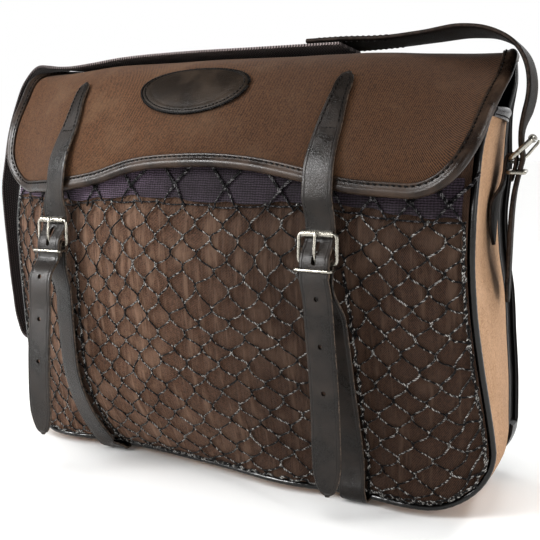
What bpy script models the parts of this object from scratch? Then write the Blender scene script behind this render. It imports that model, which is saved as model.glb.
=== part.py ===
# Hunting game bag: a filled canvas satchel with a net pocket, strapped flap and webbing sling.
#
# X runs to the right as seen from the front, the front faces -Y and +Z is up. The origin is on
# the flat bottom, in the middle of the bag's width. Lengths are in millimetres, and
# add_object turns them into metres. "Forward" is a distance towards -Y.

import math

import bmesh
import bpy
import numpy as np
from mathutils import Matrix, Vector

MM = 0.001

# Driving dimensions
CANVAS = 2.0  # thickness of the canvas walls
LEATHER = 2.2  # thickness of the front straps
SLING_LEATHER = 3.0
BINDING = 1.2  # thickness of the leather folded over the canvas edges
FOLD = 7.5  # how far the folded leather reaches in from an edge
GAP = 0.4  # clearance between pieces that touch on the real bag
FOLD_GAP = 1.25  # clearance of the folded leather, over the canvas that curves under it
STRAP_WIDTH = 20.0
SLING_WIDTH = 38.0
WEBBING = 2.2
BAND_WIDTH = 24.0
BAND_THICKNESS = 1.5
PANEL_TOP = 236.0
MOUTH_HEIGHT = 258.0  # top edge of the gusset
BACK_TOP = 291.0
BACK_SEAM = 25.0  # the rear seam lies this far behind the origin
BACK_DEPTH = 13.0  # width of the back panel's wall, behind the rear seam
FRONT_CORNER, BACK_CORNER = 40.0, 38.0  # radii of the bottom corners
FRONT_SEAM_HEIGHT, BACK_SEAM_HEIGHT = 6.0, 5.0
FRONT_PIPING, BACK_PIPING = 2.0, 1.6  # radii
NET_OFFSET, NET_THICKNESS, NET_STRAND = 2.1, 1.3, 2.2
NET_COLUMNS, NET_ROWS = 18, 10
FLAP_HALF = 190.0
STRAP_STATION = 104.0  # the front straps cross the flap and the front panel about here
PANEL_STATION = 150.0  # between a strap and the bag's side
LINING_STATION = 60.0  # between the middle and the right strap

# Half width of the bag at the front seam and at the rear seam, by height
HALF_COLUMNS = ("height", "front", "back")
HALF_ROWS = (
    (0, 196, 186),
    (45, 196, 186),
    (75, 193, 185),
    (105, 190, 182.5),
    (135, 188, 180),
    (165, 187, 175),
    (190, 187, 173.5),
    (215, 187, 175.5),
    (258, 186, 178),
    (278, 186, 182),
    (296, 184, 181),
)

# How far forward the front panel's outer face stands: height, then at the left edge, the left
# panel, the left strap, the middle, beside the middle, the right strap, the right panel and edge
FRONT_ROWS = (
    (0, 45, 58, 49, 56, 66, 60, 63, 46),
    (30, 44, 61, 68, 69, 66, 58, 60, 47),
    (62, 46, 68, 83, 83, 76, 67, 64, 52),
    (100, 53, 74, 89, 92, 87, 79, 73, 62),
    (140, 59, 77, 92, 98, 95, 89, 84, 73),
    (175, 61, 76, 93, 100, 98, 94, 89, 78),
    (210, 55, 66, 88, 94.5, 94, 90, 86, 75),
    (238, 48, 58, 81, 85, 86, 82, 75, 64),
    (258, 44, 54, 66, 68, 68, 64, 55, 44),
)

# Profile of the flap from its hem to the back seam: forward and height at the left edge, at the
# straps, in the middle and at the right edge, then its half width
FLAP_ROWS = (
    (66, 190, 103, 190, 105, 190, 98, 190, 190),  # hem, before it is cut to its outline
    (67, 222, 101.5, 222, 104, 222, 94.5, 225, 190),  # lower face
    (62, 247, 90, 248, 95, 248, 70, 247, 190),  # face
    (50, 268, 73, 274, 76, 275, 43, 266, 190),  # slope
    (37, 286, 53, 289, 55, 290, 18, 281, 190),  # shoulder
    (18, 292, 28, 295.5, 29, 296, 5, 292, 189),  # crest
    (-12, 294.5, -12, 297, -12, 297, -13, 295, 185),  # top
    (-34, 293, -34, 294, -34, 294, -34, 293, 182),  # back seam
)

# Flap's hem, which rises between the straps: place across, height
HEM_ROWS = (
    (-158, 201), (-104, 205), (-70, 210.5), (-40, 219), (0, 223), (46, 222),
    (88, 215), (113, 209.5), (154, 206.5),
)
FLAP_CORNERS = {"left": 32.0, "right": 36.0}

# Lower edge of the elastic band
BAND_COLUMNS = ("across", "height")
BAND_ROWS = ((-183, 196), (-94, 196), (-48, 200), (31, 198), (112, 199), (158, 193), (181, 192))

# Middle lines of the front straps, seen from the front, by height
UPPER_COLUMNS = ("height", "left", "right")
UPPER_ROWS = (
    (17, -107.5, 105.5), (100, -108, 104), (150, -108.5, 102.5), (183, -108.5, 101),
    (210, -104.5, 101), (232, -103.5, 101), (250, -103, 101.5), (280, -107, 103),
)
LOWER_COLUMNS = ("height", "left", "right")
LOWER_ROWS = (
    (2, -97, 108.5), (12, -102, 107.5), (31, -107, 106), (62, -108.5, 105), (130, -108, 104),
    (165, -108.5, 101),
)

# Loose tails of the flap straps, below their buckles: how far forward, by height
TAIL_COLUMNS = ("height", "left", "right")
TAIL_ROWS = ((17, 123, 98), (60, 126, 99.5), (90, 125, 102), (120, 122, 106), (150, 119, 110))
TAIL_TIP = {"left": 31.0, "right": 17.0}
TAIL_HOLES = (144, 114, 84)

# Middle line of the sling's webbing, from the left leather end to the right one: x, y, height
# and the lean that turns its rear edge towards the bag, in degrees
WEBBING_ROWS = (
    (-208.8, -11, 196, 0), (-207, -11, 150, 0), (-203, -11, 108, 0), (-200.6, -11, 84, 0),
    (-207, -11, 71.5, 0), (-217, -11, 73.5, 0), (-223.5, -11, 86, 0), (-228, -11, 111, 0),
    (-232, -11, 148, 0), (-234.8, -11, 180, 0), (-235.4, -11, 200, 0), (-231, -11, 222, 0),
    (-226, -11, 243, 0), (-216.5, -11, 267, 0), (-204.8, -11, 287, 0), (-189, -11, 299.5, 2),
    (-160, -11, 301, 5), (-110, -11, 300.8, 6), (-50, -11, 300.8, 6), (10, -11, 300.8, 6),
    (50, -11, 300.8, 6), (78, -11, 300.8, 6),
)
LAP = WEBBING / 2 + GAP + SLING_LEATHER / 2  # from the webbing's middle to the leather's
RIGHT_END_ROWS = (
    (54, -11, 300.8 + LAP, 6), (80, -11, 300.8 + LAP, 6), (108, -10, 304, 3), (136, -9, 306, 3),
    (160, -8, 308, 5), (180, -8, 304.5, 4), (194, -8, 295, 5), (200.6, -8, 281, 6),
    (201.4, -8, 267, 6), (198.4, -8, 253, 7), (196, -8, 247, 9),
)
LEFT_END_ROWS = (
    (-208.8 - LAP, -11, 172, 0), (-208.8 - LAP, -11, 196, 0), (-214.3, -11, 225, 0),
    (-214.3, -11, 248, 0), (-209.5, -11, 260, 0), (-202, -10, 259, 0), (-197.7, -8, 250, 0),
)

# Below that the sling's leather runs through a side buckle and hangs as a tail: distance from
# the middle plane, height, width and lean
SIDE_Y = -8.0
SIDE_TAIL_ROWS = (
    (195.9, 241, 38, 0), (196.2, 234.2, 38, 0), (197.3, 228.2, 38, 0), (196.3, 222.2, 38, 0),
    (194.7, 215.2, 38, 0), (193.2, 207, 38, 3), (192.0, 195, 38, 9), (191.5, 180, 38, 12),
    (191.2, 158, 38, 12), (191.1, 147, 35, 12), (191.1, 139, 24, 12), (191.1, 136, 14, 12),
)
SLING_SLOT = {"from_middle": 197.0, "height": 228.2, "length": 12.0, "width": 3.6}
SLING_HOLE = {"from_middle": 191.4, "height": 170.0, "length": 3.6, "width": 3.6}
SIDE_TURN = {"left": 0.0, "right": 12.0}  # degrees that the fittings' rear edge turns to the bag
SIDE_AXIS = 190.0  # the upright axis of that turn, from the middle plane

# Leather tab behind each side buckle: a leaf sewn to the gusset (height, width), then free up to
# the buckle and down again outside it (distance from the middle plane, height)
LEAF_ROWS = ((172, 6), (176, 14), (183, 24), (192, 31), (201, 33))
TAB_ROWS = ((185.4, 211.5), (186.7, 219.2))
TAB_END_ROWS = ((193.2, 223.2), (191.6, 217.2), (190.9, 213.7))
TAB_WIDTH = 34.0
TAB_SLOT = {"from_bar": 4.5, "drop": 0.5, "length": 9.0, "width": 3.4}

# Buckles: strap opening, height of the frame between its bars, and radii of wire and roller
FRONT_BUCKLE = {"width": 21.5, "frame": 18.0, "wire": 1.2, "roller": 2.3}
FRONT_BUCKLE_HEIGHT = 174.0
FRONT_BUCKLE_STANDS_OFF = {"left": 3.2, "right": 0.4}
FRONT_KEEPER_DROP = 12.5  # from the middle of the frame down to the keeper loop
SIDE_BUCKLE = {"width": 40.0, "frame": 17.5, "wire": 1.5, "roller": 2.6}
SIDE_BAR = (190.5, 227.2)  # the lower bar's distance from the middle, and its height
SIDE_TILT = 45.0  # degrees that the frame swings out from upright
SIDE_KEEPER = {"height": 218.7, "front": 197.4, "back": 190.8}  # faces of what it encloses
PATCH = {"across": -6.0, "row": 2.95, "half_width": 42.0, "half_rows": 0.66, "thickness": 1.6}

COLOURS = {  # sRGB, roughness, metallic
    "canvas_brown": ((0.36, 0.26, 0.20), 0.9, 0.0),
    "canvas_tan": ((0.62, 0.45, 0.33), 0.9, 0.0),
    "leather": ((0.17, 0.14, 0.12), 0.45, 0.0),
    "leathercloth": ((0.10, 0.09, 0.09), 0.4, 0.0),
    "piping": ((0.08, 0.07, 0.07), 0.25, 0.0),
    "elastic": ((0.27, 0.22, 0.27), 0.9, 0.0),
    "webbing": ((0.15, 0.13, 0.13), 0.85, 0.0),
    "cord": ((0.12, 0.12, 0.12), 0.6, 0.0),
    "nickel": ((0.72, 0.70, 0.64), 0.3, 1.0),
}


def clear_scene():
    for thing in list(bpy.data.objects):
        bpy.data.objects.remove(thing, do_unlink=True)


def linear(channel):
    return channel / 12.92 if channel <= 0.04045 else ((channel + 0.055) / 1.055) ** 2.4


def material(finish, name):
    colour, roughness, metallic = COLOURS[finish]
    made = bpy.data.materials.new(name + "_" + finish)
    made.use_nodes = True
    shader = made.node_tree.nodes["Principled BSDF"]
    shader.inputs["Base Color"].default_value = (*map(linear, colour), 1.0)
    shader.inputs["Roughness"].default_value = roughness
    shader.inputs["Metallic"].default_value = metallic
    return made


def spline(at, xs, ys):
    """Smooth curve through the points (xs, ys), read at `at` and level past its ends."""
    xs, ys = np.asarray(xs, float), np.asarray(ys, float)
    slopes = np.gradient(ys, xs, axis=0)
    at = np.clip(np.asarray(at, float), xs[0], xs[-1])
    k = np.clip(np.searchsorted(xs, at, side="right") - 1, 0, len(xs) - 2)
    step = xs[k + 1] - xs[k]
    t = (at - xs[k]) / step
    if ys.ndim > 1 and np.ndim(at):
        t, step = t[:, None], step[:, None]
    return (
        (2 * t**3 - 3 * t**2 + 1) * ys[k]
        + (t**3 - 2 * t**2 + t) * step * slopes[k]
        + (3 * t**2 - 2 * t**3) * ys[k + 1]
        + (t**3 - t**2) * step * slopes[k + 1]
    )


def smooth_rows(rows, count):
    """Rows spaced evenly along the smooth curve whose points are the first three columns."""
    rows = np.array(rows, float)
    steps = np.linalg.norm(np.diff(rows[:, :3], axis=0), axis=1)
    along = np.concatenate([[0.0], np.cumsum(steps)])
    return spline(np.linspace(0, along[-1], count), along, rows)


def column(rows, columns, name, at):
    """A named column of a table, read at a value of the table's first column."""
    rows = np.array(rows, float)
    return float(spline(at, rows[:, 0], rows[:, columns.index(name)]))


def ease(t):
    t = min(max(t, 0.0), 1.0)
    return t * t * (3 - 2 * t)


def unit(vectors):
    return vectors / np.maximum(np.linalg.norm(vectors, axis=-1, keepdims=True), 1e-9)


def add_object(name, points, faces, finish, matrix=None):
    """A closed body from points in millimetres, with its faces turned outward."""
    body = bmesh.new()
    corners = [body.verts.new(Vector(point) * MM) for point in points]
    for face in faces:
        body.faces.new([corners[index] for index in face])
    bmesh.ops.remove_doubles(body, verts=body.verts, dist=1e-6)
    bmesh.ops.recalc_face_normals(body, faces=body.faces)
    mesh = bpy.data.meshes.new(name)
    body.to_mesh(mesh)
    body.free()
    mesh.shade_smooth()
    mesh.set_sharp_from_angle(angle=math.radians(40))
    made = bpy.data.objects.new(name, mesh)
    made.data.materials.append(material(finish, name))
    if matrix is not None:
        made.matrix_world = matrix
    bpy.context.scene.collection.objects.link(made)
    return made


def normals_of(grid):
    """Unit normals of a grid of points: across the row, crossed with along the columns."""
    return unit(np.cross(np.gradient(grid, axis=1), np.gradient(grid, axis=0)))


def sheet(name, outer, thickness, finish, normals=None):
    """A sheet of cloth: a grid of points for its outer face, and the inner face behind it."""
    outer = np.array(outer, float)
    normals = normals_of(outer) if normals is None else normals
    inner = outer - thickness * normals
    rows, columns = outer.shape[:2]
    points = np.concatenate([outer.reshape(-1, 3), inner.reshape(-1, 3)])
    back = rows * columns
    faces = []
    for r in range(rows - 1):
        for c in range(columns - 1):
            a = r * columns + c
            quad = (a, a + 1, a + columns + 1, a + columns)
            faces.append(quad)
            faces.append(tuple(back + i for i in reversed(quad)))
    rim = list(range(columns))
    rim += [r * columns + columns - 1 for r in range(1, rows)]
    rim += [(rows - 1) * columns + c for c in range(columns - 2, -1, -1)]
    rim += [r * columns for r in range(rows - 2, 0, -1)]
    for a, b in zip(rim, rim[1:] + rim[:1]):
        faces.append((b, a, back + a, back + b))
    return add_object(name, points, faces, finish)


def loft(name, sections, finish, closed=False, matrix=None):
    """A body through sections that each have the same number of points."""
    sections = np.asarray(sections, float)
    count, sides = sections.shape[:2]
    faces = []
    for i in range(count if closed else count - 1):
        j = (i + 1) % count
        for k in range(sides):
            m = (k + 1) % sides
            faces.append((i * sides + k, i * sides + m, j * sides + m, j * sides + k))
    if not closed:
        faces.append(tuple(range(sides)))
        faces.append(tuple((count - 1) * sides + k for k in reversed(range(sides))))
    return add_object(name, sections.reshape(-1, 3), faces, finish, matrix)


def tangents_of(path, closed=False):
    if closed:
        return unit(np.roll(path, -1, axis=0) - np.roll(path, 1, axis=0))
    return unit(np.gradient(path, axis=0))


def wire(name, path, radius, sides, reference, finish, closed=False, matrix=None):
    """A round wire or piping; reference is a direction that the path never runs along."""
    path = np.asarray(path, float)
    along = tangents_of(path, closed)
    across = unit(np.cross(along, reference))
    out = unit(np.cross(across, along))
    turns = [2 * math.pi * (k + 0.5) / sides for k in range(sides)]
    ring = [across * math.cos(turn) + out * math.sin(turn) for turn in turns]
    sections = path[:, None, :] + radius * np.stack(ring, axis=1)
    return loft(name, sections, finish, closed, matrix)


def strap(name, rows, thickness, finish, holes=()):
    """A flat strap. Each row is a point of its middle line, its width and its width's direction."""
    path = np.array([row[0] for row in rows], float)
    widths = np.array([row[1] for row in rows], float)[:, None]
    across = np.array([row[2] for row in rows], float)
    along = tangents_of(path)
    across = unit(across - along * np.sum(along * across, axis=1)[:, None])
    out = np.cross(along, across)
    corners = ((-0.5, -0.5), (0.5, -0.5), (0.5, 0.5), (-0.5, 0.5))
    sections = [path + across * widths * u + out * thickness * v for u, v in corners]
    made = loft(name, np.stack(sections, axis=1), finish)
    for number, hole in enumerate(holes, 1):
        cut_hole(made, f"{name}_hole_{number}", **hole)
    return made


def leaning(path, lean):
    """Directions across a strap whose width lies along Y, with its rear edge turned by lean."""
    along = tangents_of(np.asarray(path, float))
    rear = np.array((0.0, 1.0, 0.0))
    across = unit(rear - along * (along @ rear)[:, None])
    out = np.cross(along, across)
    turn = np.radians(lean)[:, None]
    return across * np.cos(turn) - out * np.sin(turn)


def cut_hole(target, name, place, direction, length, width):
    """A punched hole, or an upright slot where length is more than width, through a strap."""
    place, direction = np.asarray(place, float), unit(np.asarray(direction, float))
    side = unit(np.cross(direction, (0, 0, 1)))
    up = np.cross(side, direction)
    corners, reach, depth = 8, (length - width) / 2, 6.0
    rim = []
    for k in range(corners):
        turn = 2 * math.pi * (k + 0.5) / corners
        lift = math.sin(turn) * width / 2 + math.copysign(reach, math.sin(turn))
        rim.append(side * math.cos(turn) * width / 2 + up * lift)
    ends = [[place + direction * d + r for r in rim] for d in (-depth, depth)]
    cutter = loft(name, ends, "leather")
    cutter.hide_render = True
    cutter.display_type = "WIRE"
    cut = target.modifiers.new("hole", "BOOLEAN")
    cut.operation = "DIFFERENCE"
    cut.solver = "EXACT"
    cut.object = cutter


def bind_edge(name, edge, reach, edge_out, reach_out, finish):
    """Leather folded over a sheet's edge. Reach is where it ends, on the sheet's outer face."""
    inward = reach - edge
    inward = unit(inward - edge_out * np.sum(inward * edge_out, axis=1)[:, None])
    over, under = FOLD_GAP, CANVAS + FOLD_GAP
    sections = [
        reach + reach_out * over,
        reach + reach_out * (over + BINDING),
        edge + edge_out * (over + BINDING),
        edge - inward * (GAP + BINDING) - edge_out * CANVAS / 2,
        edge - edge_out * (under + BINDING),
        reach - reach_out * (under + BINDING),
        reach - reach_out * under,
        edge - inward * GAP - edge_out * under,
        edge - inward * GAP + edge_out * over,
    ]
    return loft(name, np.stack(sections, axis=1), finish)


# Form of the bag


def half_width(height, seam):
    """Half width of the bag at the front or the rear seam."""
    return column(HALF_ROWS, HALF_COLUMNS, seam, height)


def forward(x, height):
    """How far forward the front panel's outer face stands."""
    table = np.array(FRONT_ROWS, float)
    across = spline(height, table[:, 0], table[:, 1:])
    half = half_width(height, "front")
    stations = (
        -half, -PANEL_STATION, -STRAP_STATION, 0.0,
        LINING_STATION, STRAP_STATION, PANEL_STATION, half,
    )
    return float(spline(x, stations, across))


def front_point(x, height, offset=0.0):
    """A point over the front panel, offset along its normal."""
    d = 2.0
    point = np.array((x, -forward(x, height), height))
    if not offset:
        return point
    dx = (forward(x + d, height) - forward(x - d, height)) / (2 * d)
    dz = (forward(x, height + d) - forward(x, height - d)) / (2 * d)
    return point + offset * unit(np.array((-dx, -1.0, -dz)))


def across_front(x, height):
    """Direction across the front panel's face."""
    return unit(front_point(x + 2, height) - front_point(x - 2, height))


def corner_height(x, half, radius, low):
    """Height of a round-cornered bottom line at x."""
    over = max(0.0, abs(x) - (half - radius))
    return low + radius - math.sqrt(max(0.0, radius**2 - over**2))


def seam_line(seam, top, side_count=8, corner_count=4, bottom_count=5):
    """Points (x, height) down the left side, along the bottom and up the right side."""
    radius, low = {
        "front": (FRONT_CORNER, FRONT_SEAM_HEIGHT),
        "back": (BACK_CORNER, BACK_SEAM_HEIGHT),
    }[seam]
    flat = half_width(0, seam) - radius
    right = [(flat * k / bottom_count, low) for k in range(bottom_count + 1)]
    for k in range(1, corner_count + 1):
        turn = math.pi / 2 * k / corner_count
        right.append((flat + radius * math.sin(turn), low + radius * (1 - math.cos(turn))))
    for k in range(1, side_count + 1):
        height = low + radius + (top - low - radius) * k / side_count
        right.append((half_width(height, seam), height))
    left = [(-x, height) for x, height in reversed(right[1:])]
    return left + right


def columns_across(half, radius, corner_count, middle_count):
    """Places across a panel, closer together in its round corners."""
    flat = half - radius
    corner = [flat + radius * math.sin(math.pi / 2 * k / corner_count) for k in range(1, corner_count + 1)]
    middle = [flat * (2 * k / middle_count - 1) for k in range(middle_count + 1)]
    return [-x for x in reversed(corner)] + middle + corner


def make_front_panel():
    inset, row_count = FRONT_PIPING + GAP, 14
    base = half_width(0, "front")
    half, radius, low = base - inset, FRONT_CORNER - inset, FRONT_SEAM_HEIGHT + inset
    rows = []
    for r in range(row_count):
        row = []
        for x in columns_across(half, radius, 4, 12):
            bottom = corner_height(x, half, radius, low)
            height = bottom + (PANEL_TOP - bottom) * (r / (row_count - 1)) ** 1.1
            row.append(front_point(x * (half_width(height, "front") - inset) / half, height))
        rows.append(row)
    return sheet("front_panel", rows, CANVAS, "canvas_brown")


def front_seam_point(x, height):
    return np.array((x, -forward(x, height) + CANVAS / 2, height))


def make_piping():
    path = np.array([front_seam_point(x, z) for x, z in seam_line("front", MOUTH_HEIGHT)])
    path[0], path[-1] = (path[0] * 2 + path[1]) / 3, (path[-1] * 2 + path[-2]) / 3
    wire("front_piping", path, FRONT_PIPING, 6, (0, 1, 0), "piping")
    path = [(x, BACK_SEAM, z) for x, z in seam_line("back", BACK_TOP - 3, side_count=9)]
    wire("back_piping", path, BACK_PIPING, 6, (0, 1, 0), "piping")


def side_swell(depth, height):
    """How far the gusset's side stands out, full below and pinched in near the buckles."""
    return (3.0 - 4.5 * math.exp(-(((height - 185) / 40) ** 2))) * math.sin(math.pi * depth)


def gusset_grid():
    """Outer face of the gusset: rows along the seam, columns from the front to the back."""
    fronts, backs = seam_line("front", MOUTH_HEIGHT), seam_line("back", MOUTH_HEIGHT)
    depths = (0.0, 0.06, 0.15, 0.35, 0.6, 0.84, 0.94, 1.0)
    settled = (0.0, 0.45, 0.9, 1.0, 1.0, 1.0, 0.7, 0.0)  # how nearly the bottom touches the ground
    flat = half_width(0, "front") - FRONT_CORNER
    seam = np.array([front_seam_point(x, height) for x, height in fronts])
    steepness = 1 / np.sqrt(1 - tangents_of(seam)[:, 1] ** 2)
    rows = []
    for place, (front_x, front_z), (back_x, back_z), steep in zip(seam, fronts, backs, steepness):
        start = place + (0, (FRONT_PIPING + GAP) * steep, 0)
        end = np.array((back_x, BACK_SEAM - BACK_PIPING - GAP, back_z))
        side = math.copysign(max(0.0, abs(front_x) - flat), front_x)
        drop = min(0.0, front_z - FRONT_SEAM_HEIGHT - FRONT_CORNER)
        out = unit(np.array((side, 0.0, drop)))
        row = []
        for depth, ground in zip(depths, settled):
            swell = side_swell(depth, front_z) * out[0] ** 2
            point = start + (end - start) * depth + out * (1.0 + swell)
            seam_height = FRONT_SEAM_HEIGHT * (1 - depth) + BACK_SEAM_HEIGHT * depth
            point[2] -= (seam_height - 1.0) * ground * out[2] ** 2
            row.append(point)
        rows.append(row)
    return np.array(rows)


def gusset_side(sign, y, height):
    """Distance of a side of the gusset, its outer face, from the middle plane."""
    front, back = half_width(height, "front"), half_width(height, "back")
    start = -forward(sign * front, height) + CANVAS / 2 + FRONT_PIPING + GAP
    end = BACK_SEAM - BACK_PIPING - GAP
    depth = (y - start) / (end - start)
    return front + (back - front) * depth + 1.0 + side_swell(depth, height)


def make_gusset():
    return sheet("gusset_panel", gusset_grid(), CANVAS, "canvas_tan")


def make_gusset_trims():
    """Folded leather band over the top edge of each side of the gusset."""
    grid = gusset_grid()
    normals = normals_of(grid)
    for side, row, below in (("left", 0, 1), ("right", -1, -2)):
        edge, out = grid[row][1:-1], normals[row][1:-1]
        down = grid[below][1:-1] - edge
        reach = edge + unit(down) * FOLD
        bind_edge("gusset_trim_" + side, edge, reach, out, out, "leather")


def make_back_panel():
    """A dished back: a wall standing back from the rear seam, rounded over to a bellied face."""
    row_count = 11
    base, low = half_width(0, "back"), BACK_SEAM_HEIGHT
    front_edge = BACK_SEAM + BACK_PIPING + GAP
    rows = []
    for r in range(row_count):
        row = []
        for x in columns_across(base, BACK_CORNER, 3, 8)[::-1]:
            bottom = corner_height(x, base, BACK_CORNER, low)
            height = bottom + (BACK_TOP - bottom) * (r / (row_count - 1)) ** 1.15
            half = half_width(height, "back")
            fullness = ease((BACK_TOP - height) / 90.0)
            inside = min(base - abs(x), 0.9 * (height - bottom))
            rounding = 1 - (1 - min(inside / 24.0, 1.0)) ** 2
            belly = math.cos(math.pi / 2 * x / base) * min(1.0, (height - bottom) / 90.0)
            depth = 7.0 + (BACK_DEPTH - 7.0 + 9.0 * rounding + 5.0 * belly) * fullness
            widen = 1 + 3.5 * fullness * (1 - rounding) / base
            row.append((x * half / base * widen, front_edge + depth, height))
        half = half_width(row[0][2], "back")
        row = [(half, front_edge, row[0][2])] + row + [(-half, front_edge, row[-1][2])]
        rows.append(row)
    rows = [[(x, front_edge, z) for x, y, z in rows[0]]] + rows
    grid = np.array(rows)
    normals = normals_of(grid)
    rim = np.zeros(grid.shape[:2], bool)
    rim[0, :] = rim[:, 0] = rim[:, -1] = True
    flat = normals * (1, 0, 1)
    normals[rim] = unit(flat[rim] + (0, 0, -1e-6))
    for r, c, like in ((0, 0, 1), (1, 0, 1), (0, -1, -2), (1, -1, -2)):
        normals[r, c] = normals[0, like]
    return sheet("back_panel", grid, CANVAS, "leathercloth", normals)


# Flap


def flap_point(x, row):
    """A point on the flap's outer face: x across it, row a place in the table of its profile."""
    table = np.array(FLAP_ROWS, float)
    line = spline(row, range(len(table)), table)
    left = ease((-x - 90) / (FLAP_HALF - 90))
    right = ease((x - 90) / (FLAP_HALF - 90))
    middle = math.cos(math.pi / 2 * min(1.0, abs(x) / STRAP_STATION)) ** 2
    shares = (left, 1 - left - right - middle, middle, right)
    ahead = sum(share * line[2 * k] for k, share in enumerate(shares))
    height = sum(share * line[2 * k + 1] for k, share in enumerate(shares))
    return np.array((x * line[-1] / FLAP_HALF, -ahead, height))


def flap_row_at(x, height):
    """The profile row where the flap passes a height on its front."""
    low, high = 0.0, 4.5
    for _ in range(30):
        middle = (low + high) / 2
        if flap_point(x, middle)[2] < height:
            low = middle
        else:
            high = middle
    return low


def flap_slopes(x, row):
    """How the flap's surface moves for a millimetre across and for a row of its profile."""
    d = 0.02
    across = (flap_point(x + 1, row) - flap_point(x - 1, row)) / 2
    along = (flap_point(x, row + d) - flap_point(x, row - d)) / (2 * d)
    return across, along


def flap_normal(x, row):
    return unit(np.cross(*flap_slopes(x, row)))


def flap_outline():
    """Columns of the flap: place across, and height of its lower edge with its round corners."""
    hem = np.array(HEM_ROWS, float)
    corner_count, middle_count = 4, 12
    columns = []
    for side, sign in (("left", -1), ("right", 1)):
        radius = FLAP_CORNERS[side]
        start = FLAP_HALF - radius
        low = float(spline(sign * start, hem[:, 0], hem[:, 1]))
        for k in range(1, corner_count + 1):
            turn = math.pi / 2 * k / corner_count
            across = sign * (start + radius * math.sin(turn))
            columns.append((across, low + radius * (1 - math.cos(turn))))
    left, right = -(FLAP_HALF - FLAP_CORNERS["left"]), FLAP_HALF - FLAP_CORNERS["right"]
    for k in range(middle_count + 1):
        x = left + (right - left) * k / middle_count
        columns.append((x, float(spline(x, hem[:, 0], hem[:, 1]))))
    return sorted(columns)


def flap_places():
    """Places (x, profile row) of the flap's points, from its hem up to the back seam."""
    row_count, last = 12, len(FLAP_ROWS) - 1
    starts = [(x, flap_row_at(x, height)) for x, height in flap_outline()]
    places = []
    for r in range(row_count):
        share = r / (row_count - 1)
        places.append([(x, start + (last - start) * share) for x, start in starts])
    return places


def make_flap():
    places = flap_places()
    outer = [[flap_point(*place) for place in row] for row in places]
    normals = np.array([[flap_normal(*place) for place in row] for row in places])
    return sheet("flap", outer, CANVAS, "canvas_brown", normals)


def make_flap_binding():
    """Leather folded over the flap's edge, from the back seam round the hem and back."""
    places = flap_places()
    upper = len(places) - 2
    edge = [places[r][0] for r in range(upper, 0, -1)] + places[0]
    edge += [places[r][-1] for r in range(1, upper + 1)]
    points = np.array([flap_point(*place) for place in edge])
    outs = np.array([flap_normal(*place) for place in edge])
    inward = np.cross(outs, tangents_of(points))
    reach, reach_outs = [], []
    for place, step in zip(edge, inward):
        across, along = flap_slopes(*place)
        slopes = np.stack([across, along], axis=1)
        move = np.linalg.lstsq(slopes, FOLD * step, rcond=None)[0]
        reach.append(flap_point(*(place + move)))
        reach_outs.append(flap_normal(*(place + move)))
    return bind_edge("flap_binding", points, np.array(reach), outs, np.array(reach_outs), "leather")


def make_name_patch():
    """Oval leather patch sewn on the flap, left bare."""
    spokes, seat = 20, 0.6
    faces, points = [], []
    for level in (seat + PATCH["thickness"], seat):
        for ring in (0.5, 1.0):
            for k in range(spokes):
                turn = 2 * math.pi * k / spokes
                x = PATCH["across"] + PATCH["half_width"] * ring * math.cos(turn)
                row = PATCH["row"] + PATCH["half_rows"] * ring * math.sin(turn)
                points.append(flap_point(x, row) + level * flap_normal(x, row))
    for level in (seat + PATCH["thickness"], seat):
        x, row = PATCH["across"], PATCH["row"]
        points.append(flap_point(x, row) + level * flap_normal(x, row))
    under, middle = 2 * spokes, 4 * spokes
    for k in range(spokes):
        m = (k + 1) % spokes
        faces.append((middle, k, m))
        faces.append((middle + 1, under + m, under + k))
        faces.append((k, spokes + k, spokes + m, m))
        faces.append((under + k, under + m, under + spokes + m, under + spokes + k))
        faces.append((spokes + k, under + spokes + k, under + spokes + m, spokes + m))
    return add_object("name_patch", points, faces, "leather")


# Net pocket


def band_height(x):
    return column(BAND_ROWS, BAND_COLUMNS, "height", x)


def make_net_band():
    left, right, columns = BAND_ROWS[0][0], BAND_ROWS[-1][0], 20
    rows = []
    for r in range(3):
        row = []
        for c in range(columns):
            x = left + (right - left) * c / (columns - 1)
            height = band_height(x) + BAND_WIDTH * r / 2
            row.append(front_point(x, height, GAP + 0.4 + BAND_THICKNESS))
        rows.append(row)
    return sheet("net_band", rows, BAND_THICKNESS, "elastic")


def net_place(i, j):
    """Place on the front panel of a knot, i across and j up, both from 0 to 1."""
    inset = FRONT_PIPING + GAP + 2.0
    base = half_width(0, "front") - inset
    x = (2 * i - 1) * (base - 6)
    bottom = corner_height(x, base, FRONT_CORNER - inset, FRONT_SEAM_HEIGHT + inset)
    top = band_height(x) - 3.0
    height = bottom + (top - bottom) * j
    return x * (half_width(height, "front") - inset) / base, height


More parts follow.
